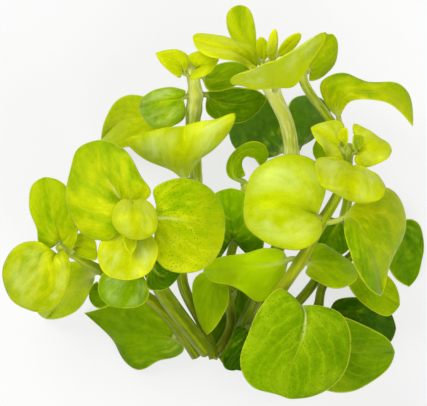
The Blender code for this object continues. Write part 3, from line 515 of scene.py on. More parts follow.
        tone=0.74, tipTone=-0.1, rays=0.7),
    "leaf_g_round": dict(
        stem="stem_g", node=4.8, face=(-0.25, -0.1, 0.95), cup=-0.16,
        way=[(-32.3, -11.8, 28), (-32.1, -15.8, 28), (-33.9, -19.4, 26), (-35.5, -21.8, 24)],
        left=[(-30.1, -9.4), (-28.7, -11.8), (-28.7, -14.8), (-29.9, -18.2), (-32.1, -21)],
        right=[(-34.3, -8, 28.4), (-37.3, -7.7), (-40.3, -9.4), (-41.9, -12.4), (-41.9, -16.2),
               (-40.3, -19.6), (-37.9, -21)],
        tone=0.9, tipTone=-0.15, veins=0.4, dots=0.1, puff=0.03, bloom=0.45, rays=0.8),
    "leaf_g_back": dict(
        stem="stem_g", node=3, face=(0, -0.3, 1),
        way=[(-25.1, -14.6, 16), (-29.5, -18.8, 8.5), (-33.5, -23.2, -0.4)],
        left=[(-23.9, -15.8), (-25.1, -18.6), (-26.9, -21.2), (-30.3, -23)],
        right=[(-25.5, -12), (-29.1, -11.8), (-32.7, -14.2), (-34.7, -17.8), (-35.5, -21)],
        tone=0.72, fresh=0.15),
    "leaf_g_small": dict(
        stem="stem_g", node=4, stalk=0.6,
        way=[(-27.1, -8.6, 24.5), (-23.3, -9.4, 24)],
        left=[(-27.9, -7), (-25.9, -5.8), (-23.9, -7)],
        right=[(-27.5, -9.8), (-25.3, -11.2), (-23.5, -11.4)],
        tone=0.7),
    # stem_h, the upper left stem
    "leaf_h_front": dict(
        stem="stem_h", node=4, stalk=2, face=(0, -0.1, 1), cup=0.05,
        way=[(-6.1, 5.4, 21.5), (-6.1, 10.2, 26.5), (-5.9, 15.4, 26)],
        left=[(-8.3, 6.4), (-11.1, 7.8), (-14.1, 8.8), (-16.1, 10.2), (-17.3, 12.6),
              (-14.7, 13.8), (-11.1, 14.8)],
        right=[(-3.3, 7.8), (-0.3, 10.6), (2.1, 12.4), (3.7, 15), (4.4, 18), (1.1, 17),
               (-2.1, 16.4)],
        tone=0.93, sideTone=0.12, veins=0.4, cream=0.8, bloom=0.65, rays=0.7, fresh=0.15),
    "leaf_h_bent": dict(
        stem="stem_h", node=6, stalk=0.8, face=(0, 0.3, 0.95),
        way=[(-8.3, 20.6, 23), (-11.5, 19.8, 22), (-14.9, 19, 17.5)],
        left=[(-5.7, 17.2, 23), (-8.7, 15.2), (-11.7, 14.8), (-13.9, 16.8)],
        right=[(-5.5, 22.2, 23), (-8.3, 23.2), (-11.7, 22.6), (-14.1, 21.2)],
        tone=0.5, bloom=0.6),
    "leaf_h_far": dict(
        stem="stem_h", node=5.4, stalk=3.5, face=(-0.3, 0.2, 0.95),
        way=[(-9.7, 17, 14), (-15.7, 17, 10), (-22.5, 12.4, -0.5)],
        left=[(-10.7, 13.6), (-14.3, 12), (-18.3, 11), (-21.1, 11)],
        right=[(-10.7, 20.2), (-14.3, 21.4), (-17.1, 21.6), (-19.9, 19.8), (-21.9, 16.2)],
        tone=0.72, rays=0.2),
    "leaf_h_dark": dict(
        stem="stem_h", node=6, stalk=0.8, face=(0, -0.5, 0.85),
        way=[(0.3, 20.6, 19.5), (5.3, 19.8, 18.5), (10.7, 21, 16.5)],
        left=[(-1.7, 22), (1.3, 22.8), (5.3, 23.1), (8.7, 22.6)],
        right=[(-1.3, 18), (1.7, 16.2), (5.9, 16.2), (9.3, 18.6)],
        tone=0.36, rim=0.9),
    "leaf_h_olive": dict(
        stem="stem_h", node=7, stalk=0.6, face=(0, 0.3, 0.95),
        way=[(-0.7, 24.6, 22), (3.3, 26.2, 21), (7.5, 26.6, 19)],
        left=[(-2.3, 25.4), (-0.3, 27.2), (2.5, 28.2), (5.5, 28)],
        right=[(-1.1, 22.6), (2.5, 22.6), (5.9, 24.4)],
        tone=0.5),
    "leaf_h_tip_left": dict(
        stem="stem_h", node=7.6, face=(-0.25, 0.3, 0.95),
        way=[(-7.1, 28.2, 27.1), (-11.7, 30, 27.1)],
        left=[(-6.7, 25, 27.1), (-8.7, 26.2), (-10.7, 28.2)],
        right=[(-4.9, 29.2, 26.9), (-6.5, 30.5), (-9.1, 30.7)],
        tone=0.92, rays=0.6),
    "leaf_h_tip_right": dict(
        stem="stem_h", node=7.8, stalk=0.6, face=(0, 0.3, 0.95),
        way=[(-1.5, 27.8, 28.9), (1.1, 28.6, 29)],
        left=[(-5.1, 29.4, 28.8), (-2.1, 30.6), (-0.1, 30.2)],
        right=[(-4.9, 24.8, 28.8), (-1.7, 25.4), (0.3, 27.2)],
        tone=0.9),
    # stem_n, the middle stem, and one leaf at the foot of stem_a
    "leaf_n_middle": dict(
        stem="stem_n", node=3.2, face=(-0.2, 0, 1),
        way=[(3.7, -5.8, 20), (3.7, -1.4, 20.8), (3.5, 3, 20)],
        left=[(0.5, -11.6, 18.2), (-1.9, -7.4), (-2.1, -1.8), (0.1, 1.8)],
        right=[(8.5, -11.6, 18.2), (10.1, -6.6), (8.9, -1), (6.5, 2)],
        tone=0.2, tipTone=0.34),
    "leaf_n_curl": dict(
        stem="stem_n", node=5,
        way=[(4.5, 5, 20), (4.1, 8, 21), (5.7, 10.2, 21.5), (8.5, 10.8, 21.5), (9.9, 9, 21),
             (9.3, 7.4, 20.5)],
        left=[(2.9, 5.4, 20), (2.7, 8.2, 20.5), (3.9, 10.2, 21), (5.9, 11.8, 21.3),
              (8.3, 12.4, 21.5), (10.5, 11.2, 21), (10.9, 9, 20.6)],
        right=[(6.3, 5.4, 20.3), (5.7, 7.6, 21), (6.5, 9.2, 21.5), (7.7, 9.2, 21.5),
               (8.7, 8.2, 21)],
        tone=0.5),
    "leaf_n_hang": dict(
        stem="stem_n", node=2, face=(-0.2, 0, 1),
        way=[(0.3, -16, 17.5), (-0.7, -21, 18), (-1.3, -26.4, 16)],
        left=[(2.7, -16.4), (3.1, -19.6), (1.7, -22.8), (-0.1, -25.4)],
        right=[(-1.1, -13.6), (-3.7, -15), (-4.1, -19.4), (-2.9, -23.8)],
        tone=0.55, rays=0.6, fresh=0.5),
    "leaf_n_back": dict(
        stem="stem_n", node=1.6,
        way=[(5.3, -16.6, 8.2), (3.5, -25, 6.6), (1.7, -31.4, 5.9)],
        left=[(10.1, -15), (10.9, -21.4), (6.9, -29.4)],
        right=[(1.7, -16.2), (-1.1, -23), (-1.1, -29.4)],
        tone=0.32, tipTone=-0.16, rim=0.2),
    "leaf_n_low": dict(
        stem="stem_a", node=0.5, face=(0.2, 0, 1),
        way=[(7.3, -25.8, 15.5), (4.5, -33.4, 14)],
        left=[(10.5, -25), (10.5, -29.4), (7.7, -33.4)],
        right=[(4.7, -24.6), (3.1, -27.8), (1.7, -31), (2.5, -33.2)],
        tone=0.12, tipTone=-0.1, rim=0.15),
}

youngLeaves = ("leaf_a_boat leaf_a_left leaf_a_top leaf_d_left leaf_d_right leaf_d_arch "
               "leaf_d_round leaf_f_left leaf_f_right leaf_f_top leaf_f_bottom leaf_g_round "
               "leaf_g_up leaf_h_front leaf_h_tip_left leaf_h_tip_right").split()
oldLeaves = ("leaf_a_back_left leaf_a_back_right leaf_m_dark leaf_m_far leaf_h_dark leaf_f_side "
             "leaf_f_under leaf_n_low leaf_n_back leaf_n_middle leaf_b_low leaf_b_back").split()


# Stems

stemBuild = {
    "rowsPerSpan": 14,
    "around": 28,
    "squareness": 0.05,   # share of the radius that the four corners stand proud
    "cornerTurn": 0.6,    # radians round the stem from its side to a corner
    "swelling": 0.14,     # share of the radius that a node stands proud
    "nodeReach": 1.2,     # mm either way along the stem
    "nodeStep": 0.05,     # in nodes, for the stem's direction at one
    "rim": (0.08, 0.88),  # the cut end's narrower last row: mm out, and share of the radius
    "hollow": 0.12,       # mm that the middle of the cut end lies deeper
    "dome": (0.3, 0.55, 0.75),   # rows past the tip, in radii
    "domeTop": 0.35,      # from the last row to the dome's top, in that row's radii
}


def radiusAt(shape, share):
    # the radii are spread evenly from the cut end to the tip
    return np.interp(share, np.linspace(0, 1, len(shape["radius"])), shape["radius"])


def stemAt(name, node):
    # centre, direction and radius of a stem at a node, and whether that is its end
    shape = stemShapes[name]
    nodes = placed(shape["nodes"])
    last = len(nodes) - 1
    step = stemBuild["nodeStep"]
    before, here, after = smoothCurve(nodes, np.clip([node - step, node, node + step], 0, last))
    radius = radiusAt(shape, node / last)
    return here, unit(after - before), radius, node >= last


def makeStem(name, material):
    # ring (s, a): centre of the route at s, plus the radius along the angle a. The radius swells
    # at the nodes and at four corners; the cut end is nearly flat, the tip is a dome.
    shape = stemShapes[name]
    nodes = placed(shape["nodes"])
    last = len(nodes) - 1
    stations = np.linspace(0, last, last * stemBuild["rowsPerSpan"] + 1)
    line = smoothCurve(nodes, stations)
    run = lengthAlong(line)
    along = unit(np.gradient(line, axis=0))
    share = stations / last
    radius = radiusAt(shape, share)
    grown = [leaf["node"] for leaf in leafShapes.values() if leaf["stem"] == name]
    nodeRun = np.interp(grown, stations, run)
    nodeness = np.exp(-((run[:, None] - nodeRun) / stemBuild["nodeReach"]) ** 2).max(axis=1)
    radius = radius * (1 + stemBuild["swelling"] * nodeness)

    # one narrower row rounds the cut end's rim, and the rows past the tip make a dome
    rimStep, rimShare = stemBuild["rim"]
    dome = np.array(stemBuild["dome"])
    beyond = line[-1] + along[-1] * radius[-1] * dome[:, None]
    line = np.vstack([line[0] - along[0] * rimStep, line, beyond])
    radius = np.concatenate([[radius[0] * rimShare], radius, radius[-1] * np.sqrt(1 - dome ** 2)])
    along = np.pad(along, ((1, len(dome)), (0, 0)), "edge")
    share = np.pad(share, (1, len(dome)), "edge")
    nodeness = np.concatenate([[0], nodeness, np.repeat(nodeness[-1], len(dome))])

    angle = np.linspace(0, 2 * math.pi, stemBuild["around"], endpoint=False)
    corner = np.cos(4 * angle + stemBuild["cornerTurn"])
    side = unit(np.cross(along, (1.0, 0.0, 0.0)))
    other = np.cross(along, side)
    reach = radius[:, None] * (1 + stemBuild["squareness"] * corner)
    rings = (line[:, None] + side[:, None] * (reach * np.cos(angle))[..., None]
             + other[:, None] * (reach * np.sin(angle))[..., None])
    start = line[0] + along[0] * stemBuild["hollow"]
    end = line[-1] + along[-1] * radius[-1] * stemBuild["domeTop"]
    # lightness from the cut end to the tip: the dark cut ends are partly painted shade at the foot of
    # the tuft, and the pale top of stem_a partly a painted highlight
    light = np.interp(share, (0, 1), shape["light"])
    brown = np.interp(share, (0, 1), shape["brown"])
    readings = {"tone": light[:, None], "brown": brown[:, None], "joint": nodeness[:, None],
                "turn": corner, "run": lengthAlong(line)[:, None], "aroundX": np.cos(angle),
                "aroundY": np.sin(angle), "pale": shape["pale"]}
    dress(ringMesh(name + "_skin", rings, start, end, readings), name, material)


# Leaves

leafBuild = {
    # in mm where nothing else is said
    "stalkWidth": 1.1,
    "budStalkWidth": 0.6,
    "stalkDepth": 0.5,      # half the depth of a leaf's stalk; a bud's is in proportion
    "stalkFlare": (0.6, 0.9),   # how much wider it is at its root, as a share, and how far up
    "clearance": 0.75,      # from the stem's skin to where the stalk's curve starts
    "joinReach": 2.2,       # where the bend out of the stem ends,
    "joinShare": 0.75,      # or this share of a short stalk
    "rootDepth": 0.3,       # where a stalk starts inside the stem, in radii from its middle
    "budRootDepth": 0.4,
    "tipSpread": 0.85,      # how far off its axis a bud leaves the stem's end, in radii
    "budGap": 0.35,         # how far a bud stands off the stem's end, past the clearance
    "bluntness": 0.5,       # power of an oval blade's outline: 0.5 is nearly a circle
    "curveSteps": 120,      # that a midrib's curve is measured in; an edge has twice as many
    "bendSteps": 16,
    "headingStep": 0.3,     # either way, for the midrib's direction
    "stalkRows": 10,
    "bladeRows": (24, 3.0),     # and so many more for each mm of its size
    "bladeColumns": (16, 1.6),
    "thickness": 0.34,
    "ribWidth": 0.5,
    "ribDepth": 0.32,       # how far the midrib stands out below
    "grooveDepth": 0.12,    # how deep it lies above
    "quilt": 0.05,          # how far the skin bulges between side veins
    "fullRelief": 14.0,     # a narrower leaf has less rib, groove and quilt
    "veinSpacing": 0.20,    # as a share of the blade's length
    "veinSweep": 0.75,      # how far a side vein runs toward the tip, as a share of the length
    "veinBow": 1.1,         # 1 is a straight side vein
    "wave": 0.028,          # slow waves near the edge, as a share of the width
    "fanWidth": 2.2,        # of the streaks' pattern that a turn of one radian crosses
    "lowestTip": 0.1,       # height
}

plainLeaf = dict(face=(0, 0, 1), cup=0.0, stalk=1.6, puff=0.05, tipTone=0.0, sideTone=0.0,
                 veins=0.5, dots=0.0, cream=0.0, rim=0.6, bloom=0.0, rays=0.4, fresh=0.0)


def midribLine(shape):
    # the leaf's centre line from inside its stem to its tip, its running length, and how far along
    # the blade starts. A cubic bend leads from the root into a spline through the midrib's places.
    way = placed(shape["way"])
    centre, direction, radius, atTip = stemAt(shape["stem"], shape["node"])
    outward = way[0] - centre
    outward = unit(outward - direction * (outward @ direction))
    clear = leafBuild["clearance"]
    if atTip:
        foot = centre + direction * (clear + leafBuild["budGap"])
        foot = foot + outward * radius * leafBuild["tipSpread"]
        root, leaving = centre + outward * radius * leafBuild["budRootDepth"], direction
    else:
        foot = centre + outward * (radius + clear)
        root, leaving = centre + outward * radius * leafBuild["rootDepth"], outward
    fine = smoothCurve(np.vstack([foot, way]), np.linspace(0, len(way), leafBuild["curveSteps"]))
    run = lengthAlong(fine)
    joinAt = min(leafBuild["joinShare"] * shape["stalk"], leafBuild["joinReach"])
    after = np.searchsorted(run, joinAt)
    heading = unit(fine[after + 1] - fine[after - 1])
    chord = np.linalg.norm(fine[after] - root)
    t = np.linspace(0, 1, leafBuild["bendSteps"])[:-1, None]
    bend = ((2 * t ** 3 - 3 * t ** 2 + 1) * root + (t ** 3 - 2 * t ** 2 + t) * chord * leaving
            + (3 * t ** 2 - 2 * t ** 3) * fine[after] + (t ** 3 - t ** 2) * chord * heading)
    line = np.vstack([bend, fine[after:]])
    return line, lengthAlong(line), lengthAlong(bend)[-1] + shape["stalk"] - joinAt


def edgeRun(places, shape, base, tip, middleAt, b):
    # one edge of a blade at the shares b: a spline from the base through the given places to the
    # tip. A place without a height takes it from the plane through the midrib and from the cup.
    flat = np.array([place[:2] for place in places], float)
    level = np.mean([place[2] for place in shape["way"]])
    spots = placed(np.column_stack([flat, np.full(len(flat), level)]))
    share = lengthAlong(np.vstack([base, spots, tip]))
    middle = middleAt(share[1:-1] / share[-1])
    off = spots[:, :2] - middle[:, :2]
    face = np.array(shape["face"])
    height = middle[:, 2] - off @ face[:2] / face[2]
    height = height + shape["cup"] * np.linalg.norm(off, axis=1)
    given = np.array([place[2] if len(place) > 2 else math.nan for place in places])
    height = np.where(np.isnan(given), height, given)
    edge = np.vstack([base, placed(np.column_stack([flat, height])), tip])
    fine = smoothCurve(edge, np.linspace(0, len(edge) - 1, 2 * leafBuild["curveSteps"]))
    run = lengthAlong(fine)
    return np.column_stack([np.interp(b * run[-1], run, fine[:, k]) for k in range(3)])


def bladeGrid(shape):
    # rows along the leaf and columns across it, more of them on a larger leaf. Rows are below 0 on
    # the stalk and 0 to 1 on the blade, close together at both ends; columns are -1 to 1.
    size = sum(np.ptp([place[:2] for place in shape.get(key, shape["way"])], axis=0).max()
               for key in ("left", "right", "way")) / 3
    fewest, more = leafBuild["bladeRows"]
    turn = np.linspace(0, math.pi, int(fewest + more * size) + 1)[:-1]
    stalk = np.linspace(-1, 0, leafBuild["stalkRows"] + 1)[:-1]
    fewest, more = leafBuild["bladeColumns"]
    v = np.linspace(0, 1, int(fewest + more * size) + 1)
    v = -(0.45 * np.cos(math.pi * v) + 0.55 * (1 - 2 * v))
    return np.concatenate([stalk, (1 - np.cos(turn)) / 2]), v[None, :]


def leafEdges(shape, stalkHalf, blade):
    # the midrib and both edges, row by row: a stalk first, then a plain oval blade, or one whose
    # edges run through the given places. The stalk flares at its root and narrows to the tip.
    line, run, bladeStart = midribLine(shape)
    bladeLength = run[-1] - bladeStart

    def lineAt(distance):
        return np.column_stack([np.interp(distance, run, line[:, k]) for k in range(3)])

    def middleAt(share):
        return lineAt(bladeStart + bladeLength * share)

    reached = np.where(blade < 0, bladeStart * (1 + blade), bladeStart + bladeLength * blade)
    b = np.clip(blade, 0, 1)
    centre = lineAt(reached)
    step = leafBuild["headingStep"]
    along = unit(lineAt(reached + step) - lineAt(reached - step))
    across = unit(np.cross(along, shape["face"]))
    up = np.cross(across, along)
    flare, flareReach = leafBuild["stalkFlare"]
    stalk = stalkHalf * (1 + flare * np.exp(-(reached / flareReach) ** 2)) * (1 - b) ** 0.5
    oval = shape.get("width", 0) / 2 * np.sin(math.pi * b) ** leafBuild["bluntness"]
    half = (stalk ** 4 + oval ** 4) ** 0.25
    offset = across * half[:, None]
    rise = up * (shape["cup"] * half * (blade > 0))[:, None]
    left, right = centre - offset + rise, centre + offset + rise
    if "left" in shape:
        first = leafBuild["stalkRows"]
        left[first:] = edgeRun(shape["left"], shape, left[first], line[-1], middleAt, b[first:])
        right[first:] = edgeRun(shape["right"], shape, right[first], line[-1], middleAt, b[first:])
    return centre, left, right, line[-1], bladeLength


def surfaceNormal(surface):
    # square to the steps across the columns and along the rows
    return unit(np.cross(np.gradient(surface, axis=1), np.gradient(surface, axis=0)))


def bladeLift(shape, half, b, v, size, width, phase):
    # how far the middle surface stands off the straight lines from the midrib to the edges: the
    # cup's curve, an arch in each half, a small bulge between side veins, and slow waves near the
    # edge, which are the product of two sines in the leaf's own phase
    onBlade = smoothStep(b, 0, 0.08)
    lift = shape["cup"] * half * (v ** 2 - np.abs(v)) * onBlade
    lift = lift + shape["puff"] * half * 4 * np.abs(v) * (1 - np.abs(v)) * onBlade
    level = b - leafBuild["veinSweep"] * np.abs(v) ** leafBuild["veinBow"]
    bulge = 0.5 - 0.5 * np.cos(2 * math.pi * level / leafBuild["veinSpacing"])
    bulge = bulge * smoothStep(1 - np.abs(v), 0, 0.3) * smoothStep(np.abs(v), 0, 0.2)
    lift = lift + leafBuild["quilt"] * bulge * np.sin(math.pi * b) * size
    wave = np.sin(7.5 * b + 1.3 * v + phase) * np.sin(13 * b - phase + 2 * v)
    return lift + leafBuild["wave"] * width * wave * v ** 2 * onBlade * np.sin(math.pi * b)


def leafSides(surface, half, b, v, size, stalkHalf):
    # top and bottom: the middle surface with the thickness, the midrib and the round stalk added.
    # The blade thins to a round rim at its edge, and where it is narrow. What would dip under the
    # surface that the tuft lies on is lifted onto it.
    onBlade = smoothStep(b, 0, 0.08)
    offRib = np.abs(v) * half
    thin = leafBuild["thickness"] / 2 * np.minimum(1, half / 0.8) * np.sqrt(1 - v ** 6)
    rib = np.exp(-(offRib / leafBuild["ribWidth"]) ** 2) * (1 - b) ** 0.7
    above = thin - leafBuild["grooveDepth"] * size * rib * (1 - v ** 2)
    below = thin + leafBuild["ribDepth"] * size * rib * (1 - v ** 2)
    share = stalkHalf * 2 / leafBuild["stalkWidth"]
    roundness = np.sqrt(1 - v ** 2) * leafBuild["stalkDepth"] * share
    above = above * onBlade + roundness * (1 - onBlade)
    below = below * onBlade + roundness * 1.15 * (1 - onBlade)
    normal = surfaceNormal(surface)
    top = surface + normal * above[..., None]
    bottom = surface - normal * below[..., None]
    lifted = np.maximum(0, -np.minimum(top[..., 2], bottom[..., 2]))
    top[..., 2] += lifted
    bottom[..., 2] += lifted
    return top, bottom


def looped(upper, lower):
    # once round the leaf: over the top from the left edge to the right, and back below
    return np.concatenate([upper, lower[:, -2:0:-1]], axis=1)


def makeLeaf(name, material):
    # ring (b, a): b runs from the stalk's root to the tip, a goes once round the leaf. The middle
    # surface joins the midrib to both edges by arcs; top and bottom stand off it by the thickness.
    shape = dict(plainLeaf, **leafShapes[name])
    stalkHalf = leafBuild["budStalkWidth" if name.startswith("bud") else "stalkWidth"] / 2
    blade, v = bladeGrid(shape)
    b = np.clip(blade, 0, 1)[:, None]
    centre, left, right, tip, bladeLength = leafEdges(shape, stalkHalf, blade)
    reach = np.where((v < 0)[..., None], (left - centre)[:, None], (right - centre)[:, None])
    half = np.linalg.norm(reach, axis=-1)
    width = half[:, 0].max() + half[:, -1].max()
    size = min(1, width / leafBuild["fullRelief"])
    phase = sum(map(ord, name)) * 0.37    # so that no two leaves wave and streak alike
    surface = centre[:, None] + reach * np.abs(v)[..., None]
    lift = bladeLift(shape, half, b, v, size, width, phase)
    surface = surface + surfaceNormal(surface) * lift[..., None]
    top, bottom = leafSides(surface, half, b, v, size, stalkHalf)

    # what the skin reads: fanX, fanY and reach are each point's direction and distance from just
    # below the blade's base
    offRib = np.abs(v) * half
    forward = (b + 0.08) * bladeLength
    fan = np.arctan2(v * half, forward)
    # tone: partly painted shade on the deep leaves inside the tuft, partly painted light on leaf_a_boat
    spread = {"tone": shape["tone"] + shape["tipTone"] * b + shape["sideTone"] * v,
              "blade": blade[:, None] + 0 * v, "across": v + 0 * b, "offRib": offRib,
              "fromEdge": half - offRib, "fanX": leafBuild["fanWidth"] * np.cos(fan) + phase,
              "fanY": leafBuild["fanWidth"] * np.sin(fan), "reach": np.hypot(v * half, forward)}
    readings = {key: looped(value, value) for key, value in spread.items()}
    readings["under"] = looped(0 * half, 0 * half + 1)    # 1 on the lower side
    for key in ("veins", "dots", "cream", "rim", "bloom", "rays", "fresh"):
        readings[key] = shape[key]
    rings = looped(top, bottom)
    tip[2] = max(tip[2], leafBuild["lowestTip"])
    dress(ringMesh(name + "_skin", rings, rings[0].mean(axis=0), tip, readings),
          name, material)


# Skins

leafLook = {
    # deep to pale, as linear red, green and blue
    "shades": [(0.0, (0.012, 0.062, 0.0005)), (0.25, (0.080, 0.205, 0.0005)),
               (0.5, (0.235, 0.415, 0.0005)), (0.75, (0.52, 0.595, 0.0005)),
               (1.0, (0.76, 0.79, 0.004))],
    # lengths in mm. What makes the lightness uneven has a size and a strength.
    "broad": (4.5, 0.19),
    "middling": (1.1, 0.28),
    "fine": (0.30, 0.26),
    "folds": (1.0, 0.8),             # broad folds that fan out from the blade's base: relief, and painted light and shade across them
    "streaks": (0.34, 0.9),
    "mesh": (0.85, 0.07),            # the net of the finest veins
    "glandSpacing": 0.58,
    "fanStretch": 0.10,              # share of its pace that the streaks' pattern runs outward at
    "reliefDepth": 0.18,
    "sheen": (1.0, 1.0, 0.02),       # tint of the gloss
    "vein": (0.70, 0.76, 0.03),
    # the pale edge, partly a painted rim highlight
    "rim": (0.78, 0.83, 0.02),
    "cream": (0.84, 0.86, 0.30),     # beside the midrib at the blade's base
    "bloom": (0.80, 0.89, 0.30),     # painted highlight: pale sheen patches half way to the edges
    "fresh": (0.60, 0.88, 0.001),    # clear green
    "underside": (0.40, 0.55, 0.005),
    "stalk": (0.64, 0.67, 0.16),
    "gland": (0.10, 0.09, 0.003),
    "through": (0.48, 0.66, 0.005),  # of the light that comes through the leaf
}


def veinMarks(sheet, onBlade, broad, middling):
    # side veins lie at even steps of a level that falls toward the edges, bent by the noise and
    # patchy. Returns the distance from the nearest and the mask of side veins and midrib.
    blade, across, offRib = sheet.read("blade"), sheet.read("across"), sheet.read("offRib")
    sweep = abs(across) ** leafBuild["veinBow"] * leafBuild["veinSweep"]
    level = blade - sweep + broad * 0.16 + middling * 0.04
    distance = level.maths("PINGPONG", level + 2.0, leafBuild["veinSpacing"] / 2)
    side = sheet.fall(distance, 0.003, 0.013)
    side = side * sheet.rise(abs(across), 0.45, 1.0, 1.0, 0.2)
    side = side * sheet.rise(blade, 0.5, 0.95, 1.0, 0.2) * sheet.rise(broad, -0.20, 0.05, 0.2)
    ribWidth = sheet.rise(blade, 0.0, 0.75, 0.34, 0.09)
    rib = sheet.fall(offRib / ribWidth, 0.35, 1.3) * onBlade
    rib = rib * sheet.fall(blade, 0.45, 0.92)
    return distance, side.maths("MAXIMUM", side * 0.75, rib) * onBlade


def paintedSheenMark(sheet, streaks, broad):
    # the painted highlight: a band half way to each edge and half way to the tip, broken up along the
    # streaks
    blade, across = sheet.read("blade"), sheet.read("across")
    band = sheet.rise(abs(across), 0.10, 0.50) * sheet.fall(abs(across), 0.55, 0.98)
    band = band * sheet.rise(blade, 0.10, 0.50) * sheet.fall(blade, 0.65, 0.98)
    return band * sheet.rise(streaks * 0.7 + broad * 1.2, -0.26, 0.30)


def glandMark(sheet):
    # small round dots, thinned out in places
    cells = sheet.node("ShaderNodeTexVoronoi", {"feature": "F1"},
                       {"Vector": sheet.place, "Scale": 1 / (leafLook["glandSpacing"] * mm),
                        "Randomness": 0.85}, output="Distance")
    patch = sheet.rise(sheet.noise(leafLook["broad"][0], 1.0), -0.30, 0.10)
    return sheet.fall(cells, 0.13, 0.28) * patch * sheet.read("dots")


def meshMark(sheet):
    # the borders of small cells
    cells = sheet.node("ShaderNodeTexVoronoi", {"feature": "DISTANCE_TO_EDGE"},
                       {"Vector": sheet.place, "Scale": 1 / (leafLook["mesh"][0] * mm),
                        "Randomness": 0.95})
    return sheet.fall(cells, 0.0, 0.10)


def leafGrain(sheet):
    # three sizes of lumps all over, and streaks and folds that run out from the blade's base; the folds
    # give relief and painted light and shade
    look = leafLook
    stretch = look["fanStretch"] * mm
    fan = sheet.node("ShaderNodeCombineXYZ", {}, {0: sheet.read("fanX") * mm,
                                                  1: sheet.read("fanY") * mm,
                                                  2: sheet.read("reach") * stretch})
    return {"broad": sheet.noise(look["broad"][0], 2.0, 0.55),
            "middling": sheet.noise(look["middling"][0], 3.0, 0.6),
            "fine": sheet.noise(look["fine"][0], 2.0, 0.6),
            "streaks": sheet.noise(look["streaks"][0], 2.0, 0.6, fan),
            "folds": sheet.noise(look["folds"][0], 1.0, 0.5, fan)}


def leafShade(sheet, grain, distance, onBlade, baseGlow):
    # lightness: on a leaf with rays the lumps give way to the streaks and to the folds' painted light
    # and shade
    look = leafLook
    veins, rays = sheet.read("veins"), sheet.read("rays")
    shade = sheet.read("tone") + grain["broad"] * (1 - rays * 0.7) * look["broad"][1]
    shade = shade + grain["middling"] * (1 - rays * 0.6) * look["middling"][1]
    shade = shade + grain["fine"] * look["fine"][1] + baseGlow * veins * 0.10
    fading = sheet.rise(sheet.read("blade"), 0.30, 1.0, 1.0, 0.3) * rays
    # painted light and shade on the folds, lighter and darker in sectors that fan out from the base
    shade = shade + grain["folds"] * fading * look["folds"][1]
    shade = shade + grain["streaks"] * fading * look["streaks"][1]
    shade = shade - sheet.rise(distance, 0.01, 0.06, 0.0, 0.07) * veins
    return shade + (meshMark(sheet) * onBlade - 0.35) * (veins * look["mesh"][1])


def leafColour(sheet, grain, shade, net, onBlade, baseGlow):
    # the shade's colour, then each marking over it
    look = leafLook
    blade, broad, streaks = sheet.read("blade"), grain["broad"], grain["streaks"]
    colour = sheet.node("ShaderNodeValToRGB", {"stops": look["shades"]}, {"Fac": shade})
    colour = sheet.tinted(sheet.read("under") * 0.20, colour, look["underside"])
    colour = sheet.tinted(sheet.read("fresh") * (0.8 + broad * 1.2), colour, look["fresh"])
    strength = sheet.read("veins") * (0.40 + baseGlow * 0.40)
    colour = sheet.tinted(net * strength, colour, look["vein"])
    ray = sheet.rise(streaks, 0.05, 0.20) * sheet.rise(blade, 0.2, 0.75, 1.0, 0.1) * onBlade
    colour = sheet.tinted(ray * sheet.read("rays") * 0.45, colour, look["vein"])
    # painted highlight: pale sheen patches where gloss would shine
    sheenMask = paintedSheenMark(sheet, streaks, broad)
    colour = sheet.tinted(sheenMask * sheet.read("bloom"), colour, look["bloom"])
    # the pale edge, partly a painted rim highlight
    rim = sheet.fall(sheet.read("fromEdge"), 0.08, 0.38) * onBlade
    colour = sheet.tinted(rim * sheet.read("rim"), colour, look["rim"])
    stalk = (1 - onBlade) * (sheet.read("tone") * 0.6 + 0.3)
    colour = sheet.tinted(stalk, colour, look["stalk"])
    cream = sheet.fall(blade, 0.10, 0.45) * sheet.fall(sheet.read("offRib"), 0.20, 0.60)
    return sheet.tinted(cream * sheet.read("cream"), colour, look["cream"])


def leafSkin(name, rough, through, gloss):
    look = leafLook
    sheet = Sheet(name)
    grain = leafGrain(sheet)
    broad, middling = grain["broad"], grain["middling"]
    onBlade = sheet.rise(sheet.read("blade"), -0.02, 0.10)
    baseGlow = sheet.fall(sheet.read("blade"), 0.0, 0.32)
    distance, net = veinMarks(sheet, onBlade, broad, middling)
    shade = leafShade(sheet, grain, distance, onBlade, baseGlow)
    colour = leafColour(sheet, grain, shade, net, onBlade, baseGlow)
    gland = glandMark(sheet)
    colour = sheet.tinted(gland * 0.85, colour, look["gland"])

    # relief: the veins lie deeper, the glands and folds stand out
    height = grain["fine"] * 0.3 + middling * 0.6 + net * -0.5 + gland * 0.3
    height = height + grain["folds"] * sheet.read("rays") * 3.0
    bump = sheet.node("ShaderNodeBump", {}, {"Strength": 0.5, "Height": height,
                                            "Distance": look["reliefDepth"] * mm})
    roughness = rough + broad * 0.2 + middling * 0.15 + sheet.read("under") * 0.1
    skin = sheet.node("ShaderNodeBsdfPrincipled", {},
                      {"Base Color": colour, "Roughness": roughness,
                       "Specular IOR Level": gloss, "Specular Tint": look["sheen"],
                       "Normal": bump})
    glow = sheet.node("ShaderNodeBsdfTranslucent", {}, {"Color": look["through"]})
    return sheet.finish(sheet.node("ShaderNodeMixShader", {}, {0: through, 1: skin, 2: glow}))


stemLook = {
    "shades": [(0.0, (0.05, 0.13, 0.001)), (0.5, (0.28, 0.40, 0.002)),
               (1.0, (0.72, 0.76, 0.10))],
    "brown": (0.33, 0.29, 0.01),
    # of the pale streaks and joints; on stem_a and stem_h the streaks are partly painted highlights
    "pale": (0.82, 0.84, 0.36),
    "streakSize": 0.35,   # mm
    "streakStretch": 0.1,
    "lumpSize": 2.2,
    "reliefDepth": 0.15,
    "rough": 0.36,
    "gloss": 0.6,
    "through": 0.12,      # share of the light that comes through
}


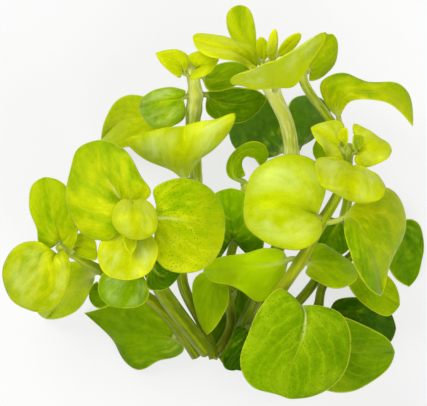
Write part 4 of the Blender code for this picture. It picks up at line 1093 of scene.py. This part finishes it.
def stemSkin():
    # the streaks are noise in the stem's own directions, drawn out along it
    look = stemLook
    sheet = Sheet("stemSkin")
    tone, pale = sheet.read("tone"), sheet.read("pale")
    stretch = look["streakStretch"] * mm
    fibre = sheet.node("ShaderNodeCombineXYZ", {}, {0: sheet.read("aroundX") * mm,
                                                    1: sheet.read("aroundY") * mm,
                                                    2: sheet.read("run") * stretch})
    streaks = sheet.noise(look["streakSize"], 2.0, 0.6, fibre)
    lumps = sheet.noise(look["lumpSize"], 2.0)
    # tone is the stem's lightness: dark at the cut ends, partly as painted shade, and pale at stem_a's
    # top, partly as a painted highlight
    shade = tone + lumps * 0.35 + streaks * 0.5 + sheet.read("turn") * 0.06
    colour = sheet.node("ShaderNodeValToRGB", {"stops": look["shades"]}, {"Fac": shade})
    brown = sheet.read("brown") * sheet.rise(lumps, -0.2, 0.2, 0.5, 1.0)
    colour = sheet.tinted(brown, colour, look["brown"])
    # pale streaks, on stem_a and stem_h partly painted highlights
    colour = sheet.tinted(sheet.rise(streaks, 0.0, 0.16) * pale * tone, colour, look["pale"])
    colour = sheet.tinted(sheet.read("joint") * 0.35 * pale * tone, colour, look["pale"])
    bump = sheet.node("ShaderNodeBump", {}, {"Strength": 0.4, "Height": streaks,
                                            "Distance": look["reliefDepth"] * mm})
    skin = sheet.node("ShaderNodeBsdfPrincipled", {},
                      {"Base Color": colour, "Roughness": look["rough"] + streaks * 0.2,
                       "Specular IOR Level": look["gloss"], "Specular Tint": leafLook["sheen"],
                       "Normal": bump})
    glow = sheet.node("ShaderNodeBsdfTranslucent", {}, {"Color": leafLook["through"]})
    return sheet.finish(sheet.node("ShaderNodeMixShader", {}, {0: look["through"], 1: skin, 2: glow}))


stemMaterial = stemSkin()
for stemName in stemShapes:
    makeStem(stemName, stemMaterial)
print("stems grown:", len(stemShapes))

# roughness, share of the light that comes through, and gloss
leafFinishes = {
    "young_leaf": dict(name="youngLeafSkin", rough=0.32, through=0.36, gloss=0.60),
    "leaf": dict(name="leafSkin", rough=0.34, through=0.30, gloss=0.50),
    "old_leaf": dict(name="oldLeafSkin", rough=0.42, through=0.20, gloss=0.05),
    "bud": dict(name="budSkin", rough=0.34, through=0.22, gloss=0.50),
}
leafMaterials = {slot: leafSkin(**finish) for slot, finish in leafFinishes.items()}
for leafName in leafShapes:
    leafSlot = "leaf"
    if leafName.startswith("bud"):
        leafSlot = "bud"
    elif leafName in youngLeaves:
        leafSlot = "young_leaf"
    elif leafName in oldLeaves:
        leafSlot = "old_leaf"
    makeLeaf(leafName, leafMaterials[leafSlot])
print("leaves and buds grown:", len(leafShapes))


# Stage

stage = {
    # lengths in metres, power in watts
    "floorSize": 4.0,
    "floorDrop": 0.00002,    # below the lowest leaf
    "floorColour": (0.20, 0.20, 0.20),
    "floorCloud": (0.19, 0.19, 0.19),
    "floorGlow": (0.69, 0.69, 0.69),
    "worldColour": (1.0, 1.0, 1.0),
    "worldStrength": 0.50,
    "aimHeight": 0.02,       # where the lights point, over the middle of the tuft
    "lights": {
        "window": dict(place=(-0.34, 0.40, 0.62), size=0.50, power=5.4),
        "fill": dict(place=(0.30, -0.52, 0.68), size=0.6, power=4.4),
    },
}


def makeStage():
    half = stage["floorSize"] / 2
    mesh = bpy.data.meshes.new("floor")
    corners = [(-half, -half), (half, -half), (half, half), (-half, half)]
    mesh.from_pydata([(x, y, -stage["floorDrop"]) for x, y in corners], [], [(0, 1, 2, 3)])
    floor = bpy.data.objects.new("floor", mesh)
    bpy.context.collection.objects.link(floor)
    sheet = Sheet("floorPaint")
    soft = sheet.noise(40.0, 2.0) + 0.5
    paint = sheet.tinted(soft * 0.1, stage["floorColour"], stage["floorCloud"])
    floor.data.materials.append(sheet.finish(sheet.node(
        "ShaderNodeBsdfPrincipled", {}, {"Base Color": paint, "Roughness": 0.9,
                                         "Specular IOR Level": 0.1,
                                         "Emission Color": stage["floorGlow"],
                                         "Emission Strength": 1.0})))
    world = bpy.data.worlds.new("studio")
    world.use_nodes = True
    background = world.node_tree.nodes["Background"]
    background.inputs["Color"].default_value = (*stage["worldColour"], 1)
    background.inputs["Strength"].default_value = stage["worldStrength"]
    bpy.context.scene.world = world
    for name, light in stage["lights"].items():
        lamp = bpy.data.lights.new(name, "AREA")
        lamp.size = light["size"]
        lamp.energy = light["power"]
        thing = bpy.data.objects.new(name, lamp)
        thing.location = light["place"]
        away = thing.location.copy()
        away.z -= stage["aimHeight"]
        thing.rotation_euler = away.to_track_quat("Z", "Y").to_euler()
        bpy.context.collection.objects.link(thing)
    bpy.context.scene.view_settings.view_transform = "Standard"


makeStage()
print("stage set")
